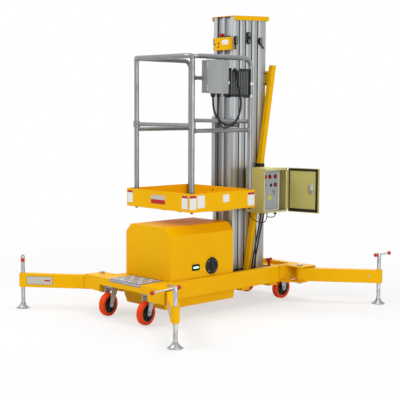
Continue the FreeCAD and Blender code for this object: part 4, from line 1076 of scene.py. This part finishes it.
def build_stickers():
    """Blank signs on the toe boards and on the arm plates, with their colour bands only."""
    white, red, grey = Model(), Model(), Model()
    for face, a, b, z0, z1, kind in STICKERS:
        out = (1, 0, 0) if face == "front" else (0, 1, 0)
        middle = (a + b) / 2
        spot = Vector((TRAY_HIGH.x, middle, (z0 + z1) / 2) if face == "front"
                      else (middle, TRAY_HIGH.y, (z0 + z1) / 2))
        width, height = b - a, z1 - z0
        if kind == "split":
            quarter = Vector((0, 0, height / 4))
            sticker(grey, spot + quarter, out, width, height / 2, 0.0001)
            sticker(red, spot - quarter, out, width, height / 2, 0.0001)
            continue
        sticker(white, spot, out, width, height, 0.0001)
        if kind == "headed":
            header = height * 0.17
            top = spot + Vector((0, 0, (height - header) / 2 - 0.0006))
            sticker(red, top, out, width * 0.96, header, 0.0005)
    white.done("platform_signs", "sign_white", "mast_5")
    red.done("platform_sign_bands", "sign_red", "mast_5")
    grey.done("platform_sign_grey", "sign_grey", "mast_5")

    for name, _, side_y in CORNERS[:2]:
        along = Vector((PAD_X - PIVOT_X, side_y * (PAD_Y - PIVOT_Y), 0)).normalized()
        out = Vector((side_y * along.y, -side_y * along.x, 0))
        spot = (Vector((PIVOT_X, side_y * PIVOT_Y, ARM_SIGN_Z)) + along * ARM_SIGN_REACH
                + out * ARM_HALF)
        for part, finish, back, width, height, lift in ARM_SIGNS:
            sign = sticker(Model(), spot - along * back, out, width, height, lift)
            sign.done(part + name, finish, "outrigger_" + name)


def build_platform_trim():
    """Hems of the toe boards, the floor's bars, the posts' feet and the bracket's bolts."""
    lips, mat, feet, nuts, bracket = (Model() for _ in range(5))
    top = TRAY_HIGH.z
    hem = 0.0015
    ring = [(TRAY_LOW.x + hem, TRAY_LOW.y + hem), (TRAY_HIGH.x - hem, TRAY_LOW.y + hem),
            (TRAY_HIGH.x - hem, TRAY_HIGH.y - hem), (TRAY_LOW.x + hem, TRAY_HIGH.y - hem)]
    for p, q in zip(ring, ring[1:] + ring[:1]):
        lips.rod((*p, top), (*q, top), 0.0021, 12)
        lips.rod((*p, TRAY_LOW.z + 0.002), (*p, top), 0.002, 12)
    lips.done("toe_board_hems", "yellow", "mast_5")

    floor = TRAY_LOW.z + TRAY_SHEET
    for place in lattice(TRAY_LOW, TRAY_HIGH, floor, 0.03, 0.05):
        mat.prism(lozenge(0.0115, 0.006, 0.0019), 0.001, place)
    mat.done("floor_tread", "yellow", "mast_5")

    for _, sx, sy in CORNERS:
        x, y = (FRONT_POST_X, FRONT_POST_Y * sy) if sx > 0 else (REAR_POST_X, REAR_POST_Y * sy)
        feet.turned([(0.0161, 0.0005), (0.0188, 0.0005), (0.0176, 0.003), (0.0161, 0.0042)],
                    (x, y, floor), sides=36)
        nuts.bolt((x, y, TRAY_LOW.z), (0, 0, -1), 0.012)
        nuts.rod((x, y, TRAY_LOW.z - 0.002), (x, y, TRAY_LOW.z - 0.014), 0.007, 20)
    feet.done("post_weld_beads", "tube", "mast_5")
    nuts.done("post_nuts", "housing", "mast_5")
    for y in (-0.0785, 0.0785):
        for x in (-0.1, 0.02, 0.14, 0.24):
            bracket.screw((x, y, floor), (0, 0, 1), 0.0075)
    for y, z in ((-0.0785, 0.73), (0.0785, 0.73), (-0.0785, 0.78)):
        bracket.bolt((-0.1603, y, z), (1, 0, 0), 0.0068)
    bracket.done("bracket_bolts", "housing", "mast_5")


def build_rail_welds():
    """Fillet beads where the rails meet their posts."""
    beads = Model()
    joints = (
        # X and height of a rail's end, direction along the rail, rail radius, sides
        (FRONT_POST_X, MID_RAIL_Z, -1, RAIL_RADIUS, (1, -1)),
        (FRONT_POST_X, BOX_RAIL_Z, -1, BOX_RAIL_RADIUS, (1,)),
        (REAR_POST_X, MID_RAIL_Z, 1, RAIL_RADIUS, (1, -1)),
        (REAR_POST_X, BOX_RAIL_Z, 1, BOX_RAIL_RADIUS, (1,)),
    )
    ends = [((x, side * RAIL_Y, z), (along, 0, 0), radius)
            for x, z, along, radius, sides in joints for side in sides]
    ends += [((REAR_POST_X, side * REAR_POST_Y, REAR_RAIL_Z), (0, -side, 0), RAIL_RADIUS)
             for side in (1, -1)]
    for end, along, radius in ends:
        beads.turned([(radius, 0), (radius + 0.0032, 0), (radius + 0.002, 0.0034),
                      (radius, 0.0052)], Vector(end) + Vector(along) * RAIL_RADIUS, along, 32)
    for y in (FRONT_POST_Y, -FRONT_POST_Y):
        beads.turned([(0.016, 0), (0.0195, 0), (0.0178, -0.0034), (0.016, -0.0052)],
                     (FRONT_POST_X, y, TOP_RAIL - 0.0128), sides=32)
    beads.done("rail_welds", "tube", "mast_5", 70)


def build_upper_controls():
    """The stop button and the other fittings of the upper control box."""
    a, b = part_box("upper_control_box")
    face, top = b.x, b.z
    centre = (-0.1595, -0.002, top)
    front = (1, 0, 0)
    knob, dark, label, screws = Model(), Model(), Model(), Model()
    knob.turned([(0, 0.0085), (0.013, 0.0085), (0.016, 0.014), (0.0178, 0.0195),
                 (0.0176, 0.0232), (0.015, 0.0258), (0.008, 0.027), (0, 0.0274)], centre)
    knob = knob.done("stop_mushroom", "red", "mast_5", 60)
    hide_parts("upper_stop_button")
    dark.turned([(0, 0), (0.0112, 0), (0.0112, 0.004), (0.0094, 0.006), (0.0094, 0.0088),
                 (0, 0.0088)], centre, sides=40)
    for y in (0.04, 0.057, 0.07):
        dark.turned([(0, 0), (0.0065, 0), (0.0065, 0.0035), (0.004, 0.005),
                     (0.0034, 0.0095), (0, 0.01)], ((a.x + b.x) / 2, y, top), sides=20)
    for y, z in ((-0.02, 1.7767), (-0.022, 1.7543), (-0.056, 1.7722)):
        dark.turned([(0, 0), (0.0058, 0), (0.0058, 0.0018), (0.004, 0.0034), (0, 0.0036)],
                    (face, y, z), front, 24)
    dark.done("control_caps", "black", "mast_5")
    label.prism(rounded_outline(0.066, 0.034, 0.0165, 8), 0.0004,
                facing((face + 0.0001, 0.0418, 1.7845), front))
    label.done("control_label", "sign_white", "mast_5")
    for y in (a.y + 0.011, b.y - 0.011):
        for z in (a.z + 0.009, b.z - 0.009):
            screws.screw((face, y, z), front, 0.0034)
    screws.done("control_screws", "bolt", "mast_5")


def build_outlet_trim():
    """Lock, hinges, seal and glands of the outlet box, and its clamps on the rail."""
    a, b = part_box("outlet_box")
    face = b.y
    x0, z0, x1, z1 = a.x, a.z + 0.022, b.x, b.z
    out = (0, 1, 0)
    parts, seal, glands, clamps = Model(), Model(), Model(), Model()
    parts.turned([(0, 0), (0.0042, 0), (0.0036, 0.0016), (0, 0.0022)], (0.2945, face, 1.581), out,
                 24)
    parts.turned([(0, 0), (0.0098, 0), (0.0092, 0.0022), (0.006, 0.003), (0, 0.003)],
                 (0.202, face, 1.512), out, 36)
    parts.box((0.1985, face + 0.002, 1.511), (0.2055, face + 0.006, 1.5135), 0.0008)
    parts.turned([(0, 0), (0.004, 0), (0.0036, 0.0012), (0, 0.0018)], (0.222, face, 1.505), out,
                 24)
    for z in (z0 + 0.035, z1 - 0.035):
        parts.rod((x1 + 0.0006, face - 0.006, z - 0.016), (x1 + 0.0006, face - 0.006, z + 0.016),
                  0.0028, 16)
    parts.done("outlet_lock", "bolt", "mast_5")
    rim = 0.002
    outer = (x0 + rim, z0 + rim, x1 - rim, z1 - rim)
    inner = (x0 + 2 * rim, z0 + 2 * rim, x1 - 2 * rim, z1 - 2 * rim)
    for xa, za, xb, zb in border(outer, inner):
        seal.box((xa, face - 0.0158, za), (xb, face - 0.014, zb), 0.0004)
    seal.done("outlet_seal", "rubber", "mast_5")
    for share, radius in ((0.6, 0.012), (0.32, 0.0105)):
        glands.turned([(radius + dr, dz) for dr, dz in (
            (0.0004, 0), (0.005, 0), (0.005, 0.007), (0.003, 0.0082), (0.0026, 0.018),
            (0.0004, 0.0221), (-0.005, 0.0224), (-0.005, 0.0216), (0.0004, 0.0212))],
            (x0 + (x1 - x0) * share, (a.y + b.y) / 2, z0), (0, 0, -1), 32)
    glands.done("outlet_glands", "black", "mast_5")
    for x in (0.155, 0.282, -0.07, 0.095):
        clamps.turned(sleeve(0.0121, 0.0152, -0.011, 0.011), (x, RAIL_Y, BOX_RAIL_Z), (1, 0, 0),
                      32)
    clamps.done("box_clamps", "zinc", "mast_5")


def build_case_trim():
    """Carrying handle, side clips, feet and cable elbow of the finned case."""
    a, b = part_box("finned_box")
    x0, x1, z0, z1 = a.x, b.x, a.z, b.z
    face = a.y + 0.049
    handle, clips, dark = Model(), Model(), Model()
    handle.wire([(x, face + dy, z1 + dz) for x, dy, dz in (
        (0.095, -0.01, -0.016), (0.097, 0.008, -0.012), (0.092, 0.012, 0.002),
        (0.08, 0.012, 0.006), (0.066, 0.012, 0.006), (0.054, 0.012, 0.002),
        (0.05, 0.008, -0.012), (0.052, -0.01, -0.016))], 0.0034)
    handle.done("case_handle", "zinc", "mast_5")
    for x, z, past in ((x0, 1.5, 0.024), (x1, 1.503, 0.008), (x0, z0 + 0.006, 0.012)):
        out = -1 if x == x0 else 1
        clips.box((x - 0.006 * out, face - 0.016, z - 0.009),
                  (x + past * 0.6 * out, face + 0.004, z + 0.009), 0.002)
        clips.box((x, face - 0.01, z - 0.006), (x + past * out, face + 0.002, z + 0.006),
                  0.0015)
    clips.done("case_clips", "sign_white", "mast_5")
    dark.turned([(0.0124, 0), (0.015, 0), (0.015, 0.008), (0.0132, 0.0092),
                 (0.0128, 0.02), (0.01, 0.0232), (0.0062, 0.0236), (0.0062, 0.0226),
                 (0.0124, 0.0222)], ((x0 + x1) / 2 + 0.037, face + 0.011, z1 - 0.013), (0, 0, -1),
                32)
    for x in (x0 + 0.016, x1 - 0.016):
        dark.box((x - 0.01, a.y + 0.006, z0 - 0.005), (x + 0.01, face - 0.006, z0 + 0.001),
                 0.0015)
    wide = 0.0135
    inner = (x0 + wide, z0 + wide, x1 - wide, z1 - wide)
    for xa, za, xb, zb in border((x0, z0, x1, z1), inner):
        dark.box((xa - 0.0008, face - 0.008, za - 0.0008),
                 (xb + 0.0008, face + 0.001, zb + 0.0008), 0.001)
    dark.done("case_edges", "black", "mast_5")


# Cords

def cord_piece(name, body, points, radius, **facts):
    curve = bpy.data.curves.new(name, "CURVE")
    curve.dimensions = "3D"
    curve.bevel_depth = radius
    curve.bevel_resolution = 6
    curve.resolution_u = 24
    curve.use_fill_caps = True
    line = curve.splines.new("NURBS")
    line.points.add(len(points) - 1)
    for spot, point in zip(line.points, points):
        spot.co = (point[0] / 1000, point[1] / 1000, point[2] / 1000, 1)
    line.order_u = 3
    line.use_endpoint_u = True
    curve.materials.append(FINISHES["sheath"].material)
    piece = bpy.data.objects.new(name, curve)
    bpy.context.scene.collection.objects.link(piece)
    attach(piece, body)
    return piece


LONG_ROUTE = (
    # millimetres, as the tube's route
    (49.5, 351.3, 1559.8), (49.5, 351.3, 1524), (40, 355.3, 1482), (26, 357.3, 1428),
    (18, 357.3, 1366), (30, 355.3, 1305), (66, 356, 1252), (125, 343, 1230), (185, 333, 1258),
    (225, 325.3, 1312), (236.4, 322.3, 1364), (236.4, 322.3, 1412),
)
SHORT_ROUTE = (
    (186.28, 322.3, 1412), (186.28, 322.3, 1378), (196, 322.3, 1332), (192, 321.3, 1280),
    (168, 319.3, 1235), (130, 315.3, 1212), (80, 309.3, 1222), (20, 299.3, 1240),
    (-40, 272, 1244), (-92, 236, 1234), (-134, 192, 1226), (-160, 148, 1223),
    (-168.15, 120, 1222), (-168.15, 95, 1222),
)
CABINET_ROUTE = (
    (-364, 186, 636), (-364, 186, 600), (-361, 176, 545), (-346, 168, 455), (-328, 165, 370),
    (-308, 165, 295), (-300, 165, 252), (-300, 165, 210),
)
REAR_ROUTE = (
    (-391, 186, 636), (-391, 186, 600), (-384, 176, 545), (-367, 168, 455), (-350, 165, 370),
    (-333, 165, 295), (-326, 165, 252), (-326, 165, 210),
)
LOOP_ROUTE = (
    (-282, 158, 636), (-282, 158, 616), (-288, 168, 596), (-304, 188, 576), (-332, 201, 563),
    (-364, 205, 558), (-391, 205, 566), (-406, 203, 587), (-409, 202, 612), (-409, 202, 636),
)


def build_cords():
    cables = (
        ("long_lead", "long_cable", "mast_5", LONG_ROUTE, 0.0065, 0.615),
        ("short_lead", "short_cable", "mast_5", SHORT_ROUTE, 0.005, 0.635),
        ("cabinet_lead", "cabinet_cable", "chassis", CABINET_ROUTE, 0.006, 0.434),
        ("cabinet_rear_lead", "cabinet_cable_rear", "chassis", REAR_ROUTE, 0.006, 0.433),
        ("cabinet_bridge", "cabinet_loop", "chassis", LOOP_ROUTE, 0.003, 0.242),
    )
    for name, node, body, route, radius, length in cables:
        piece = cord_piece(name, body, route, radius, length=length, stiffness="medium",
                           lay="hanging")
        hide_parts(node)


# Stage, lights and camera

CAMERA_PLACE = (4.596, 4.783, 1.346)
CAMERA_YAW, CAMERA_PITCH, CAMERA_ROLL = 226.378, -5.362, 0.291
FOCAL_PIXELS, PHOTO_PIXELS, SENSOR = 985.94, 400, 36


def build_camera():
    """The camera that was fitted to the photo."""
    yaw, pitch, roll = (math.radians(v) for v in (CAMERA_YAW, CAMERA_PITCH, CAMERA_ROLL))
    ahead = Vector((math.cos(yaw) * math.cos(pitch), math.sin(yaw) * math.cos(pitch),
                    math.sin(pitch)))
    right = Vector((math.sin(yaw), -math.cos(yaw), 0))
    up = right.cross(ahead)
    right, up = (math.cos(roll) * right + math.sin(roll) * up,
                 -math.sin(roll) * right + math.cos(roll) * up)
    data = bpy.data.cameras.new("camera")
    data.sensor_width = SENSOR
    data.lens = FOCAL_PIXELS / PHOTO_PIXELS * SENSOR
    camera = bpy.data.objects.new("camera", data)
    turn = Matrix((right, up, -ahead)).transposed().to_4x4()
    camera.matrix_world = Matrix.Translation(CAMERA_PLACE) @ turn
    bpy.context.scene.collection.objects.link(camera)
    bpy.context.scene.camera = camera


def camera_rays(tree):
    """1 where a ray comes from the camera, or from glossy or clear surfaces."""
    rays = tree.node("LightPath").outputs
    seen = tree.math("MAXIMUM", rays["Is Camera Ray"], rays["Is Glossy Ray"])
    return tree.math("MAXIMUM", seen, rays["Is Transmission Ray"])


def build_stage():
    """A floor that is white to the camera and pale to the light."""
    data = bpy.data.meshes.new("floor")
    size = 60
    data.from_pydata([(-size, -size, 0), (size, -size, 0), (size, size, 0), (-size, size, 0)], [],
                     [(0, 1, 2, 3)])
    floor = bpy.data.objects.new("floor", data)
    bpy.context.scene.collection.objects.link(floor)
    material = bpy.data.materials.new("studio_floor")
    tree = Tree(material)
    pale = tree.node("BsdfDiffuse", {"Color": (0.86, 0.86, 0.86, 1)})
    white = tree.node("Emission", {"Color": (1, 1, 1, 1), "Strength": 1})
    # The floor whitens with distance from the object, so no horizon shows
    where = tree.node("TexCoord").outputs["Object"]
    distance = tree.node("VectorMath", {0: where}, operation="LENGTH").outputs["Value"]
    share = tree.math("MULTIPLY", camera_rays(tree), tree.spread(distance, 1.2, 3.4, 0.6, 1))
    tree.node("OutputMaterial", {"Surface": tree.mix(share, pale, white)})
    data.materials.append(material)


def build_world():
    """White to the camera, a soft sky to the light."""
    world = bpy.data.worlds.new("studio")
    tree = Tree(world)
    light = tree.node("Background", {"Color": (0.95, 0.97, 1, 1), "Strength": 0.42})
    white = tree.node("Background", {"Color": (1, 1, 1, 1), "Strength": 1})
    tree.node("OutputWorld", {"Surface": tree.mix(camera_rays(tree), light, white)})
    bpy.context.scene.world = world


LIGHTS = (
    # name, place, aim, size, power
    ("key", (3.2, -1.2, 4.2), (0.2, 0, 0.8), 2.6, 100),
    ("fill", (1.4, 5.2, 2), (0, 0.2, 0.8), 3, 92),
    ("top", (-0.6, 0.4, 5), (0, 0, 0.8), 2.5, 92),
    ("back", (-4.2, -2.4, 3), (0, 0, 1), 2.6, 60),
)


def build_lights():
    for name, place, aim, size, power in LIGHTS:
        data = bpy.data.lights.new(name, "AREA")
        data.shape = "DISK"
        data.size = size
        data.energy = power
        lamp = bpy.data.objects.new(name, data)
        turn = (Vector(aim) - Vector(place)).to_track_quat("-Z", "Y").to_matrix().to_4x4()
        lamp.matrix_world = Matrix.Translation(place) @ turn
        bpy.context.scene.collection.objects.link(lamp)


dress_nodes()
build_wheels()
build_caster_trim()
build_jacks()
build_outrigger_trim()
build_step_tread()
build_chassis_trim()
build_hood_trim()
build_mast_trim()
build_cabinet_trim()
build_door_trim()
build_stickers()
build_platform_trim()
build_rail_welds()
build_upper_controls()
build_outlet_trim()
build_case_trim()
build_cords()
build_stage()
build_world()
build_lights()
build_camera()
bpy.context.scene.view_settings.view_transform = "Standard"
